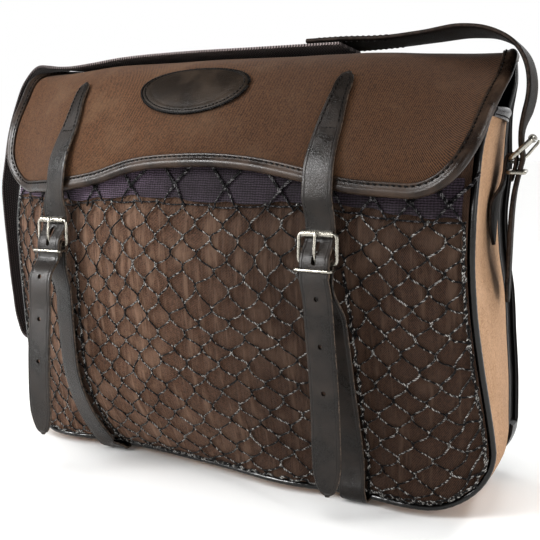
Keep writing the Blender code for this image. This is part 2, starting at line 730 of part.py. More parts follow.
def make_net():
    """Diamond net with a border cord, as one pierced skin over the front panel."""
    knots = {
        (i, j): np.array(net_place(i / NET_COLUMNS, j / NET_ROWS))
        for i in range(NET_COLUMNS + 1)
        for j in range(NET_ROWS + 1)
        if (i + j) % 2 == 0
    }
    steps = ((1, 1), (1, -1), (-1, 1), (-1, -1))
    links = {knot: [] for knot in knots}
    for i, j in knots:
        links[i, j] = [(i + a, j + b) for a, b in steps if (i + a, j + b) in knots]
        if j in (0, NET_ROWS):
            links[i, j] += [(i + a, j) for a in (-2, 2) if (i + a, j) in knots]
        if i in (0, NET_COLUMNS):
            links[i, j] += [(i, j + b) for b in (-2, 2) if (i, j + b) in knots]
    half = NET_STRAND / 2
    flat, corner = [], {}
    rings = []
    for knot, ends in links.items():
        place = knots[knot]
        turns = sorted((math.atan2(*(knots[end] - place)[::-1]), end) for end in ends)
        ring = []
        for (a, end_a), (b, end_b) in zip(turns, turns[1:] + turns[:1]):
            between = (b - a) % (2 * math.pi)
            middle = a + between / 2
            reach = half / max(math.sin(between / 2), 0.5)
            corner[knot, end_a, "after"] = corner[knot, end_b, "before"] = len(flat)
            ring.append(len(flat))
            flat.append(place + reach * np.array((math.cos(middle), math.sin(middle))))
        rings.append(ring)
    for knot, ends in links.items():
        for end in ends:
            if knot < end:
                rings.append([
                    corner[knot, end, "before"], corner[end, knot, "after"],
                    corner[end, knot, "before"], corner[knot, end, "after"],
                ])
    count = len(flat)
    points = [front_point(x, z, NET_OFFSET + NET_THICKNESS) for x, z in flat]
    points += [front_point(x, z, NET_OFFSET) for x, z in flat]
    faces, sides = [], {}
    for ring in rings:
        faces.append(tuple(ring))
        faces.append(tuple(count + k for k in reversed(ring)))
        for a, b in zip(ring, ring[1:] + ring[:1]):
            if (b, a) in sides:
                del sides[b, a]
            else:
                sides[a, b] = True
    faces += [(b, a, count + a, count + b) for a, b in sides]
    return add_object("net", points, faces, "cord")


# Buckles and front straps


def buckle_matrix(place, up, out):
    """Local frame of a buckle: X across the strap, Y out of it and Z along it."""
    up, out = unit(np.asarray(up, float)), np.asarray(out, float)
    out = unit(out - up * (out @ up))
    side = np.cross(out, up)
    matrix = Matrix(((*side, 0.0), (*out, 0.0), (*up, 0.0), (0, 0, 0, 1))).transposed()
    matrix.translation = Vector(place) * MM
    return matrix


def in_buckle(matrix, side, out, up):
    return np.array(matrix @ (Vector((side, out, up)) * MM)) / MM


def rounded_loop(half_x, half_y, radius):
    points = []
    for quarter, (sx, sy) in enumerate(((1, 1), (-1, 1), (-1, -1), (1, -1))):
        for turn in (math.pi / 2 * quarter, math.pi / 2 * (quarter + 1)):
            x = sx * (half_x - radius) + radius * math.cos(turn)
            points.append((x, sy * (half_y - radius) + radius * math.sin(turn)))
    return points


def make_buckle(name, size, matrix):
    """Frame, roller on its upper bar, and the prong that rests on the roller."""
    bar, radius, tooth = size["frame"] / 2, size["wire"], 0.95
    loop = rounded_loop(size["width"] / 2 + radius + 0.8, bar, 2.0)
    path = [(x, 0.0, z) for x, z in loop]
    wire("buckle_" + name, path, radius, 5, (0, 1, 0), "nickel", True, matrix)
    half, bore, outer, sides = size["width"] / 2 - 0.2, radius + 0.3, size["roller"], 8
    rings = []
    for k in range(sides):
        turn = 2 * math.pi * (k + 0.5) / sides
        ends = ((outer, -half), (outer, half), (bore, half), (bore, -half))
        rings.append([(x, r * math.cos(turn), bar + r * math.sin(turn)) for r, x in ends])
    loft("roller_" + name, rings, "nickel", True, matrix)
    start, rest = radius + GAP + tooth + 0.2, outer + GAP + tooth
    route = (
        (0, start, 0.8 - bar), (0, rest + 1.2, -bar * 0.25),
        (0, rest + 0.7, bar * 0.55), (0, rest, bar + 0.8),
    )
    wire("prong_" + name, smooth_rows(route, 6), tooth, 5, (1, 0, 0), "nickel", False, matrix)


def make_keeper(name, size, matrix, front, back):
    """Wire loop round a strap and the layer under it, whose faces stand at front and back."""
    thin = size["wire"] * 0.85
    depth, middle = (front - back) / 2 + GAP + thin, (front + back) / 2
    path = [(x, middle + y, 0.0) for x, y in rounded_loop(size["width"] / 2 + thin + 0.4, depth, 1.6)]
    wire("keeper_" + name, path, thin, 5, (0, 0, 1), "nickel", True, matrix)


def layer_offsets(size, thickness):
    """How far a strap's middle stands from a bar that it wraps, from the layer over that, and
    from the roller that it passes behind."""
    wrap = size["wire"] + 0.3 + thickness / 2
    return wrap, wrap + thickness + 0.3, size["roller"] + 0.3 + thickness / 2


def front_buckle(side, drop=0.0):
    """Frame of a front buckle, or a place below it."""
    x = column(UPPER_ROWS, UPPER_COLUMNS, side, FRONT_BUCKLE_HEIGHT)
    layers = NET_OFFSET + NET_THICKNESS + 2 * GAP + 2 * LEATHER + FRONT_BUCKLE["wire"] + 1.2
    room = layers + FRONT_BUCKLE_STANDS_OFF[side]
    ahead = forward(x, FRONT_BUCKLE_HEIGHT) + room
    return buckle_matrix((x, -ahead, FRONT_BUCKLE_HEIGHT - drop), (0, 0, 1), (0, -1, 0))


def make_front_strap(side):
    """The flap's strap: sewn tip, free face, behind the roller, over the bar and a loose tail."""
    matrix = front_buckle(side)
    bar, level = FRONT_BUCKLE["frame"] / 2, np.array((1.0, 0.0, 0.0))
    _, over, behind = layer_offsets(FRONT_BUCKLE, LEATHER)
    rows = []
    for height, width, lift in (
        (278, 6, 0.7), (275, 9.5, 0.7), (266, 12, 0.8), (256, 14.5, 0.9), (247, 16.5, 1.0),
        (236, 18, 1.7), (224, 19.5, 2.9), (213, 20, 3.4), (205, 20, 3.5),
    ):
        x = column(UPPER_ROWS, UPPER_COLUMNS, side, height)
        row = flap_row_at(x, height)
        point = flap_point(x, row) + (lift + LEATHER / 2) * flap_normal(x, row)
        rows.append((point, width, unit(flap_slopes(x, row)[0])))
    for up, out in (
        (bar + 8, 1.0 - behind), (bar + 0.5, -behind), (bar - 3.5, 0.9 - behind), (0, 0.6),
        (3.5 - bar, over - 0.7), (-bar, over + 0.1), (-bar - 3.5, over), (-bar - 8, over),
    ):
        rows.append((in_buckle(matrix, 0, out, up), STRAP_WIDTH, level))
    tip = TAIL_TIP[side]
    for height, width in (
        (146, 20), (120, 20), (92, 20), (66, 20), (tip + 22, 20), (tip + 10, 16.5),
        (tip + 3, 11), (tip, 6),
    ):
        rows.append((tail_point(side, height), width, level))
    front = (0, -1, 0)
    slot = {"place": in_buckle(matrix, 0, 1.5, -2.6), "length": 13.4, "width": 3.2}
    holes = [{"direction": front, **slot}]
    for height in TAIL_HOLES:
        place = tail_point(side, height)
        holes.append({"place": place, "direction": front, "length": 3.2, "width": 3.2})
    return strap("flap_strap_" + side, rows, LEATHER, "leather", holes)


def tail_point(side, height):
    x = column(UPPER_ROWS, UPPER_COLUMNS, side, height)
    return np.array((x, -column(TAIL_ROWS, TAIL_COLUMNS, side, height), height))


def make_lower_strap(side):
    """The strap that carries the buckle: from under the front edge up over the net to the bar."""
    matrix = front_buckle(side)
    bar, level = FRONT_BUCKLE["frame"] / 2, np.array((1.0, 0.0, 0.0))
    wrap, _, _ = layer_offsets(FRONT_BUCKLE, LEATHER)
    seat, width = NET_OFFSET + NET_THICKNESS + 1.3 + LEATHER / 2, STRAP_WIDTH - 1
    foot = column(LOWER_ROWS, LOWER_COLUMNS, side, 2)
    seam = forward(foot, FRONT_SEAM_HEIGHT)
    rows = [
        ((foot, 4.0 - seam, 1.9), width - 1, level),
        ((foot, -1.5 - seam, 2.0), width - 1, level),
        ((foot, -4.4 - seam, 4.0), width, level),
    ]
    for height in (9, 17, 28, 42, 57, 72, 87, 102, 116, 130):
        x = column(LOWER_ROWS, LOWER_COLUMNS, side, height)
        rows.append((front_point(x, height, seat), width, across_front(x, height)))
    diagonal = math.sqrt(0.5) * wrap
    for out, up in (
        (-wrap, -bar - 14), (-wrap, -bar - 6), (-wrap, -bar), (-diagonal, diagonal - bar),
        (0, wrap - bar), (diagonal, diagonal - bar), (wrap, -bar), (wrap, -bar - 8),
    ):
        rows.append((in_buckle(matrix, 0, out, up), width, level))
    slot = {"place": in_buckle(matrix, 0, wrap + 4.5, 1.4 - bar), "length": 9.0, "width": 3.2}
    return strap("lower_strap_" + side, rows, LEATHER, "leather", [{"direction": (0, -1, 0), **slot}])


# Sling and its side fittings


def outward(side):
    """Horizontal direction that a side's fittings face."""
    sign, turn = (-1 if side == "left" else 1), math.radians(SIDE_TURN[side])
    return np.array((sign * math.cos(turn), math.sin(turn), 0.0))


def beside(side, from_middle, height):
    """A place in the turned upright plane of a side's fittings."""
    axis = np.array((-SIDE_AXIS if side == "left" else SIDE_AXIS, SIDE_Y, height))
    return axis + outward(side) * (from_middle - SIDE_AXIS)


def side_buckle(side):
    """Frame of a side buckle, whose lower bar is held by the leather tab."""
    tilt, away, rise = math.radians(SIDE_TILT), outward(side), np.array((0.0, 0.0, 1.0))
    up = away * math.sin(tilt) + rise * math.cos(tilt)
    out = away * math.cos(tilt) - rise * math.sin(tilt)
    return buckle_matrix(beside(side, *SIDE_BAR) + up * SIDE_BUCKLE["frame"] / 2, up, out)


def make_webbing():
    rows = smooth_rows(WEBBING_ROWS, 48)
    across = leaning(rows[:, :3], rows[:, 3])
    rows = [(row[:3], SLING_WIDTH, turn) for row, turn in zip(rows, across)]
    return strap("sling_webbing", rows, WEBBING, "webbing")


def make_sling_end(side):
    """Leather end of the sling: over the webbing, through the side buckle, and a hanging tail."""
    sign = -1 if side == "left" else 1
    loose = smooth_rows(LEFT_END_ROWS if side == "left" else RIGHT_END_ROWS, 22)
    rows = [(x, y, height, SLING_WIDTH, lean) for x, y, height, lean in loose[:-1]]
    for x, height, width, lean in SIDE_TAIL_ROWS:
        lean = sign * max(lean, SIDE_TURN[side])
        rows.append((*beside(side, x, height), width, lean))
    rows = np.array(rows)
    across = leaning(rows[:, :3], rows[:, 4])
    rows = [(row[:3], row[3], turn) for row, turn in zip(rows, across)]
    holes = [
        {
            "place": beside(side, hole["from_middle"], hole["height"]), "direction": outward(side),
            "length": hole["length"], "width": hole["width"],
        }
        for hole in (SLING_SLOT, SLING_HOLE)
    ]
    return strap("sling_end_" + side, rows, SLING_LEATHER, "leather", holes)


def make_side_chape(side):
    """Leather tab: a leaf sewn to the gusset, folded round the side buckle's lower bar."""
    sign, d = (-1 if side == "left" else 1), 2.0
    wrap, _, _ = layer_offsets(SIDE_BUCKLE, LEATHER)
    rows = []
    for height, width in LEAF_ROWS:
        ahead, behind = (gusset_side(sign, SIDE_Y + step, height) for step in (-d, d))
        place = (ahead + behind) / 2 + GAP + 0.8 + LEATHER / 2
        level = unit(np.array((sign * (behind - ahead) / (2 * d), 1.0, 0.0)))
        rows.append(((sign * place, SIDE_Y, height), width, level))
    rear = np.cross((0.0, 0.0, 1.0), sign * outward(side))
    bar_x, bar_z = SIDE_BAR
    diagonal = math.sqrt(0.5) * wrap
    loop = [
        (bar_x - wrap, bar_z), (bar_x - diagonal, bar_z + diagonal), (bar_x, bar_z + wrap),
        (bar_x + diagonal, bar_z + diagonal), (bar_x + wrap, bar_z),
    ]
    for x, height in (*TAB_ROWS, *loop, *TAB_END_ROWS):
        rows.append((beside(side, x, height), TAB_WIDTH, rear))
    slot = {
        "place": beside(side, bar_x + TAB_SLOT["from_bar"], bar_z - TAB_SLOT["drop"]),
        "direction": outward(side), "length": TAB_SLOT["length"], "width": TAB_SLOT["width"],
    }
    return strap("side_chape_" + side, rows, LEATHER, "leather", [slot])


def main():
    clear_scene()
    make_front_panel()
    make_gusset()
    make_back_panel()
    make_piping()
    make_gusset_trims()
    make_flap()
    make_flap_binding()
    make_name_patch()
    make_net_band()
    make_net()
    make_webbing()
    for side in ("left", "right"):
        wrap, over, _ = layer_offsets(FRONT_BUCKLE, LEATHER)
        make_buckle("front_" + side, FRONT_BUCKLE, front_buckle(side))
        below = front_buckle(side, FRONT_KEEPER_DROP)
        make_keeper("front_" + side, FRONT_BUCKLE, below, over + LEATHER / 2, wrap - LEATHER / 2)
        make_front_strap(side)
        make_lower_strap(side)
        make_buckle("side_" + side, SIDE_BUCKLE, side_buckle(side))
        upright = buckle_matrix(beside(side, 0.0, SIDE_KEEPER["height"]), (0, 0, 1), outward(side))
        make_keeper("side_" + side, SIDE_BUCKLE, upright, SIDE_KEEPER["front"], SIDE_KEEPER["back"])
        make_sling_end(side)
        make_side_chape(side)


main()
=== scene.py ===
# Hunting game bag: brown drill canvas, dark bridle leather, a knotted net pocket, a webbing sling.
# Lengths are in millimetres and become metres when a mesh is made. The front faces -Y, Z is up.

import math
import random

import bmesh
import bpy
import numpy as np
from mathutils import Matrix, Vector, noise


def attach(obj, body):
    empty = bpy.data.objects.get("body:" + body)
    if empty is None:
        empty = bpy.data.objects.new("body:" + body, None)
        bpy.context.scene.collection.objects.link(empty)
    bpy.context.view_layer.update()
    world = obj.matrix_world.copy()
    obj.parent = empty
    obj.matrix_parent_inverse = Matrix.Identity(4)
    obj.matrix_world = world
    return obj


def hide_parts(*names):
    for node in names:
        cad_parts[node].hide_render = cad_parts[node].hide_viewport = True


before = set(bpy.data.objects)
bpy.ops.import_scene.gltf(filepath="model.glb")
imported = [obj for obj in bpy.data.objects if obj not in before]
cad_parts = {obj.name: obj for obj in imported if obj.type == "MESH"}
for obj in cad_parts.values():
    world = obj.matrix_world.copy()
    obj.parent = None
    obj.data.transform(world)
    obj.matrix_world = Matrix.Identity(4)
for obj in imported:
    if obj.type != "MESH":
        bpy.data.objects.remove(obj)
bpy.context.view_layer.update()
mm = 0.001
gap = 0.4  # between pieces that touch
farIn = 9.0  # the third mark of a place that lies far from any edge

# Camera

view = {
    "place": (335.7, -581.7, 235.8), "yaw": 29.3, "pitch": 8.02,
    "lens": 59.33, "sensor": 36.0, "near": 10.0,
}


def addObject(name, data):
    thing = bpy.data.objects.new(name, data)
    bpy.context.scene.collection.objects.link(thing)
    return thing


def makeCamera():
    camera = addObject("camera", bpy.data.cameras.new("camera"))
    camera.data.lens = view["lens"]
    camera.data.sensor_width = view["sensor"]
    camera.data.clip_start = view["near"] * mm
    camera.location = Vector(view["place"]) * mm
    camera.rotation_euler = (math.radians(90 - view["pitch"]), 0, math.radians(view["yaw"]))
    bpy.context.scene.camera = camera


makeCamera()
print("camera placed")

# Small mathematics


def toLinear(code):  # "#rrggbb" to linear light
    channels = [int(code[k:k + 2], 16) / 255 for k in (1, 3, 5)]
    return tuple(c / 12.92 if c <= 0.04045 else ((c + 0.055) / 1.055) ** 2.4 for c in channels) + (1.0,)


def smoothAt(at, xs, ys):  # smooth curve through (xs, ys) along their last axis, level past its ends
    xs, ys = np.broadcast_arrays(np.asarray(xs, float), np.asarray(ys, float))
    steps = np.diff(xs)
    rates = np.diff(ys) / steps
    before, after = steps[..., :-1], steps[..., 1:]
    inner = (rates[..., :-1] * after + rates[..., 1:] * before) / (before + after)
    slopes = np.concatenate([rates[..., :1], inner, rates[..., -1:]], axis=-1)
    lead = np.broadcast_shapes(np.shape(at), xs.shape[:-1])
    at = np.broadcast_to(at, lead)
    xs, ys, slopes = (np.broadcast_to(each, lead + each.shape[-1:]) for each in (xs, ys, slopes))
    at = np.clip(at, xs[..., 0], xs[..., -1])
    k = np.clip((xs <= at[..., None]).sum(axis=-1) - 1, 0, xs.shape[-1] - 2)[..., None]
    x0, x1, y0, y1, m0, m1 = (
        np.take_along_axis(each, k + step, axis=-1)[..., 0] for each in (xs, ys, slopes) for step in (0, 1)
    )
    t = (at - x0) / (x1 - x0)
    rise = (x1 - x0) * ((t**3 - 2 * t**2 + t) * m0 + (t**3 - t**2) * m1)
    return (2 * t**3 - 3 * t**2 + 1) * y0 + (3 * t**2 - 2 * t**3) * y1 + rise


def readTable(rows, at):  # the columns of a table after its first, read at values of the first
    table = np.array(rows, float).T
    return smoothAt(np.asarray(at, float)[..., None], table[0], table[1:])


def smoothRows(rows, step):  # a row every step along the smooth curve of the first three columns
    rows = np.array(rows, float)
    along = np.concatenate([[0.0], np.cumsum(np.linalg.norm(np.diff(rows[:, :3], axis=0), axis=1))])
    count = max(3, int(along[-1] / step) + 1)
    return smoothAt(np.linspace(0, along[-1], count)[:, None], along, rows.T)


def ease(t):
    t = np.clip(t, 0.0, 1.0)
    return t * t * (3 - 2 * t)


def unit(vectors):
    return vectors / np.maximum(np.linalg.norm(vectors, axis=-1, keepdims=True), 1e-9)


def tangentsOf(path, closed=False):
    if closed:
        return unit(np.roll(path, -1, axis=0) - np.roll(path, 1, axis=0))
    return unit(np.gradient(path, axis=0))


def normalsOf(grid):
    return unit(np.cross(np.gradient(grid, axis=1), np.gradient(grid, axis=0)))


def lengthAlong(points):
    steps = np.linalg.norm(np.diff(points, axis=0), axis=-1)
    return np.concatenate([np.zeros_like(steps[:1]), np.cumsum(steps, axis=0)])


def ripples(across, along, wide, tall, seed):  # soft noise from -1 to 1, stretched to wide by tall
    places = zip(np.ravel(across) / wide, np.ravel(along) / tall)
    values = [noise.noise(Vector((a, b, seed))) for a, b in places]
    return np.reshape(values, np.shape(across))


# Making meshes. A piece is a list of parts, each (points, faces, marks). The marks are millimetres
# on the material itself: along it, across it, and in from its edge.


def gridFaces(rows, columns, closedRows=False, closedColumns=False):
    r = np.arange(rows if closedRows else rows - 1)[:, None]
    c = np.arange(columns if closedColumns else columns - 1)[None, :]
    r1, c1 = (r + 1) % rows, (c + 1) % columns
    corners = (r * columns + c, r * columns + c1, r1 * columns + c1, r1 * columns + c)
    return np.stack([np.broadcast_to(each, (len(r), c.shape[1])).ravel() for each in corners], axis=1)


def tubeFaces(rows, sides, closed=False):  # with a cap at each end, unless the tube runs round
    faces = gridFaces(rows, sides, closed, True).tolist()
    if not closed:
        faces += [list(range(sides)), [(rows - 1) * sides + k for k in range(sides)][::-1]]
    return faces


def joinParts(parts):
    points, faces, marks, start = [], [], [], 0
    for somePoints, someFaces, someMarks in parts:
        points.append(somePoints)
        faces += [[int(k) + start for k in face] for face in someFaces]
        marks.append(someMarks)
        start += len(somePoints)
    return np.concatenate(points), faces, np.concatenate(marks)


def setMarks(mesh, marks):
    layer = mesh.attributes.get("marks") or mesh.attributes.new("marks", "FLOAT_VECTOR", "POINT")
    layer.data.foreach_set("vector", np.asarray(marks, np.float32).ravel())


def clothMarks(across, along):
    return np.stack(np.broadcast_arrays(across, along, farIn), axis=-1)


def makeMesh(name, parts):
    points, faces, marks = joinParts(parts)
    mesh = bpy.data.meshes.new(name)
    mesh.from_pydata((points * mm).tolist(), [], faces)
    setMarks(mesh, marks)
    body = bmesh.new()
    body.from_mesh(mesh)
    bmesh.ops.recalc_face_normals(body, faces=body.faces)
    body.to_mesh(mesh)
    body.free()
    return mesh


def shadeRound(mesh, sharp=50):  # smooth, but for edges sharper than so many degrees
    mesh.shade_smooth()
    mesh.set_sharp_from_angle(angle=math.radians(sharp))


def addPiece(name, parts, material, replaced=(), sharp=50):
    mesh = makeMesh(name, parts)
    shadeRound(mesh, sharp)
    mesh.materials.append(material)
    piece = addObject(name, mesh)
    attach(piece, "root")
    if replaced:
        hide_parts(*replaced)
    return piece


def addStitches(name, parts):
    addPiece(name, parts, blackThread)


def clothPart(outer, thickness, marks, normals=None):  # a grid's outer face, its inner face and the rim
    normals = normalsOf(outer) if normals is None else normals
    rows, columns = outer.shape[:2]
    count = rows * columns
    inner = outer - normals * thickness
    front = gridFaces(rows, columns)
    index = np.arange(count).reshape(rows, columns)
    rim = np.concatenate([index[0], index[1:, -1], index[-1, -2::-1], index[-2:0:-1, 0]])
    after = np.roll(rim, -1)
    sides = np.stack([after, rim, rim + count, after + count], axis=1)
    faces = np.concatenate([front, front[:, ::-1] + count, sides])
    points = np.concatenate([outer.reshape(-1, 3), inner.reshape(-1, 3)])
    return points, faces, np.tile(marks.reshape(-1, 3), (2, 1))


def tubePart(path, radius, sides, closed=False, up=(0.0, 0.0, 1.0), flat=1.0):
    path = np.asarray(path, float)
    along = tangentsOf(path, closed)
    guide = unit(np.cross(along, np.asarray(up, float)))
    over = np.cross(guide, along)
    turn = np.linspace(0, 2 * math.pi, sides, endpoint=False)
    radius = np.broadcast_to(np.asarray(radius, float), (len(path),))[:, None, None]
    ring = guide[:, None] * np.cos(turn)[:, None] + over[:, None] * np.sin(turn)[:, None] * flat
    points = (path[:, None] + ring * radius).reshape(-1, 3)
    measure = lengthAlong(path)
    marks = np.zeros((len(path), sides, 3))
    marks[..., 0] = measure[:, None]
    marks[..., 1] = np.abs(np.linspace(-1, 1, sides, endpoint=False))[None] * math.pi * radius[:, 0]
    return points, tubeFaces(len(path), sides, closed), marks.reshape(-1, 3)


def dotPart(place, radius, squash=1.0):  # a small knot
    ball = bmesh.new()
    bmesh.ops.create_icosphere(ball, subdivisions=1, radius=1.0)
    shape = np.array([vert.co[:] for vert in ball.verts])
    faces = [[vert.index for vert in face.verts] for face in ball.faces]
    ball.free()
    points = np.asarray(place) + shape * np.array((radius, radius * squash, radius))
    return points, faces, shape * radius


def stitchParts(path, outs, pitch, length, radius, slant=0.0):  # stitches lying along a path
    measure = lengthAlong(path)
    starts = np.arange(pitch * 0.5, measure[-1] - length, pitch)
    parts = []
    shares = np.array((0.0, 0.2, 0.5, 0.8, 1.0))
    heights = np.array((-0.9, 0.35, 0.6, 0.35, -0.9))
    widths = np.array((0.45, 0.9, 1.0, 0.9, 0.45))
    for start in starts:
        at = (start + shares * length)[:, None]
        line = smoothAt(at, measure, path.T)
        out = unit(smoothAt(at, measure, outs.T))
        side = np.cross(tangentsOf(line), out)
        line = line + out * heights[:, None] * radius + side * ((shares - 0.5) * slant)[:, None]
        parts.append(tubePart(line, widths * radius, 6, up=out[2]))
    return parts


# Materials. Marks and places are in millimetres unless a note says metres, and the scale of a noise
# is one over the size of its patches.


def addNode(tree, kind, inputs=(), out=0, **settings):  # inputs by name, or in order as a tuple
    node = tree.nodes.new("ShaderNode" + kind)
    for name, value in settings.items():
        setattr(node, name, value)
    for name, value in inputs.items() if isinstance(inputs, dict) else enumerate(inputs):
        if isinstance(value, bpy.types.NodeSocket):
            tree.links.new(value, node.inputs[name])
        else:
            node.inputs[name].default_value = value
    return node.outputs[out]


def startMaterial(name, **shader):
    material = bpy.data.materials.new(name)
    material.use_nodes = True
    principled = material.node_tree.nodes["Principled BSDF"]
    for socket, value in shader.items():
        principled.inputs[socket.replace("_", " ")].default_value = value
    return material, material.node_tree, principled.inputs


def marksOf(tree):  # the marks on the material: all three, then each
    marks = addNode(tree, "Attribute", attribute_name="marks", out="Vector")
    return marks, *(addNode(tree, "SeparateXYZ", (marks,), out=k) for k in range(3))


def waveOf(tree, value, pitch):  # from 0 to 1 and back for each pitch
    turn = addNode(tree, "Math", (value, 2 * math.pi / pitch), operation="MULTIPLY")
    swing = addNode(tree, "Math", (turn,), operation="SINE")
    return addNode(tree, "Math", (swing, 0.5, 0.5), operation="MULTIPLY_ADD")


soft = {"interpolation_type": "SMOOTHSTEP"}


def layColours(tree, shader, base, layers):  # each layer covers the last by its pattern, within its limits
    body = toLinear(base)
    for pattern, limits, code in layers:
        share = addNode(tree, "MapRange", (pattern, *limits), **soft) if limits else pattern
        body = addNode(tree, "Mix", {0: share, 6: body, 7: toLinear(code)}, data_type="RGBA", out=2)
    tree.links.new(body, shader["Base Color"])


def raisePatterns(tree, shader, *patterns):  # each pattern raises the surface by its height
    under = {}
    for pattern, height in patterns:
        under["Normal"] = addNode(tree, "Bump", {"Height": pattern, "Distance": height * mm, **under})
    tree.links.new(under["Normal"], shader["Normal"])


drill = {
    "pitch": 1.15,  # real twill 0.8 mm, drawn coarser to show
    # the last three give the painted shade: the drill is drawn darker towards the right
    "warpSlope": 0.62, "paintedShadeFrom": -90.0, "paintedShadeTo": 90.0, "paintedShadeColour": "#120c09",
}


def makeDrill(name, dark, light, worn, paintedShadeDepth, rumple):
    # Cotton drill, woven in a twill and brushed: matt, with fine diagonal lines and a soft nap.
    material, tree, shader = startMaterial(
        name, Sheen_Weight=0.05, Sheen_Roughness=0.5, Specular_IOR_Level=0.08)
    marks, across, along, _ = marksOf(tree)
    wander = addNode(tree, "TexNoise", {"Vector": marks, "Scale": 0.25, "Detail": 1.0})
    line = addNode(tree, "Math", (along, drill["warpSlope"], across), operation="MULTIPLY_ADD")
    line = addNode(tree, "Math", (wander, 0.5, line), operation="MULTIPLY_ADD")
    ridges = waveOf(tree, line, drill["pitch"])
    speck = addNode(tree, "TexNoise", {"Vector": marks, "Scale": 0.95, "Detail": 3.0, "Roughness": 0.75})
    weave = addNode(tree, "Math", (ridges, 0.35, speck), operation="MULTIPLY_ADD")
    tall = addNode(tree, "VectorMath", {0: marks, 1: (1.0, 0.13, 1.0)}, operation="MULTIPLY")
    crests = addNode(tree, "TexNoise", {"Vector": tall, "Scale": 0.17, "Detail": 4.0, "Roughness": 0.6})
    cloud = addNode(tree, "TexNoise", {"Vector": marks, "Scale": 0.03, "Detail": 5.0, "Roughness": 0.62})
    layColours(tree, shader, dark, (
        (weave, (0.47, 0.82), light),
        (crests, (0.48, 0.7, 0.0, 0.6 * rumple), worn),  # fine creases that run down, paler on their crests
        (cloud, (0.46, 0.74, 0.0, 0.45), worn),  # rubbed nap, in clouds a few centimetres wide
        (across, (drill["paintedShadeFrom"], drill["paintedShadeTo"], 0.0, paintedShadeDepth), drill["paintedShadeColour"]),  # painted shade: darker to the right, where the light from the left falls off
    ))
    tree.links.new(addNode(tree, "MapRange", (speck, 0.3, 0.7, 0.84, 0.95)), shader["Roughness"])
    raisePatterns(tree, shader, (weave, 0.16), (crests, 2.4 * rumple))
    return material


def makeLeather(name, dark, light, edge, grain, gloss=0.42, pebble=0.06, shine=0.22, groove=1.0, crease=0.2):
    # Vegetable tanned leather, waxed and polished: a soft gloss on a pebbled grain, worn edges.
    material, tree, shader = startMaterial(name, Specular_IOR_Level=shine)
    inEdge = marksOf(tree)[3]
    place = addNode(tree, "TexCoord", out="Object")
    place = addNode(tree, "VectorMath", {0: place, "Scale": 1 / mm}, operation="SCALE")
    cells = addNode(tree, "TexVoronoi", {"Vector": place, "Scale": 1 / grain}, feature="DISTANCE_TO_EDGE")
    pores = addNode(tree, "MapRange", (cells, 0.0, 0.22), **soft)
    fine = addNode(tree, "TexNoise", {"Vector": place, "Scale": 1.6 / grain, "Detail": 3.0, "Roughness": 0.6})
    creases = addNode(tree, "TexNoise", {"Vector": place, "Scale": 0.14, "Detail": 4.0, "Roughness": 0.6})
    cloud = addNode(tree, "TexNoise", {"Vector": place, "Scale": 0.038, "Detail": 4.0, "Roughness": 0.6})
    ragged = addNode(tree, "TexNoise", {"Vector": place, "Scale": 0.45, "Detail": 3.0})
    rub = addNode(tree, "Math", (ragged, 1.5, inEdge), operation="MULTIPLY_ADD")
    beside = addNode(tree, "Math", (inEdge, 2.3), operation="SUBTRACT")
    beside = addNode(tree, "Math", (beside,), operation="ABSOLUTE")
    layColours(tree, shader, dark, (
        (cloud, (0.38, 0.68), light),
        (rub, (0.65, 1.15, 0.85, 0.0), edge),  # raw edge, rubbed paler in an uneven line 0.5 mm wide
        (beside, (0.0, 0.45, 0.5 * groove, 0.0), "#080606"),  # creased line pressed beside the edge
    ))
    mottle = addNode(tree, "Math", (fine, 0.5, cloud), operation="MULTIPLY_ADD")
    dull = addNode(tree, "MapRange", (mottle, 0.5, 1.0, gloss - 0.1, gloss + 0.14))
    tree.links.new(dull, shader["Roughness"])
    height = addNode(tree, "Math", (fine, pores), operation="ADD")
    line = addNode(tree, "MapRange", (beside, 0.0, 0.45), **soft)
    raisePatterns(tree, shader, (height, pebble), (creases, crease), (line, 0.25 * groove))
    return material


def makeElastic():
    # Covered elastic, knitted in fine rows: matt purple-brown with a faint grid of ribs.
    material, tree, shader = startMaterial(
        "knittedElastic", Sheen_Weight=0.08, Specular_IOR_Level=0.12, Roughness=0.92)
    marks, across, along, _ = marksOf(tree)
    wander = addNode(tree, "TexNoise", {"Vector": marks, "Scale": 0.3, "Detail": 3.0})
    rows = waveOf(tree, addNode(tree, "Math", (wander, 1.2, along), operation="MULTIPLY_ADD"), 1.5)
    ribs = waveOf(tree, addNode(tree, "Math", (wander, 2.2, across), operation="MULTIPLY_ADD"), 1.9)
    speck = addNode(tree, "TexNoise", {"Vector": marks, "Scale": 1.3, "Detail": 3.0, "Roughness": 0.75})
    knit = addNode(tree, "Math", (ribs, 0.5, rows), operation="MULTIPLY_ADD")
    knit = addNode(tree, "Math", (speck, 1.6, knit), operation="MULTIPLY_ADD")
    cloud = addNode(tree, "TexNoise", {"Vector": marks, "Scale": 0.05, "Detail": 3.0})
    layColours(tree, shader, "#181117", (
        (knit, (0.9, 2.4), "#79667a"),
        (cloud, (0.4, 0.7, 0.0, 0.5), "#1c1516"),
        (across, (-140.0, 40.0, 0.0, 0.8), "#0a0708"),  # painted shade: darker towards the right, as on the canvas, where the light falls off
    ))
    raisePatterns(tree, shader, (knit, 0.14))
    return material


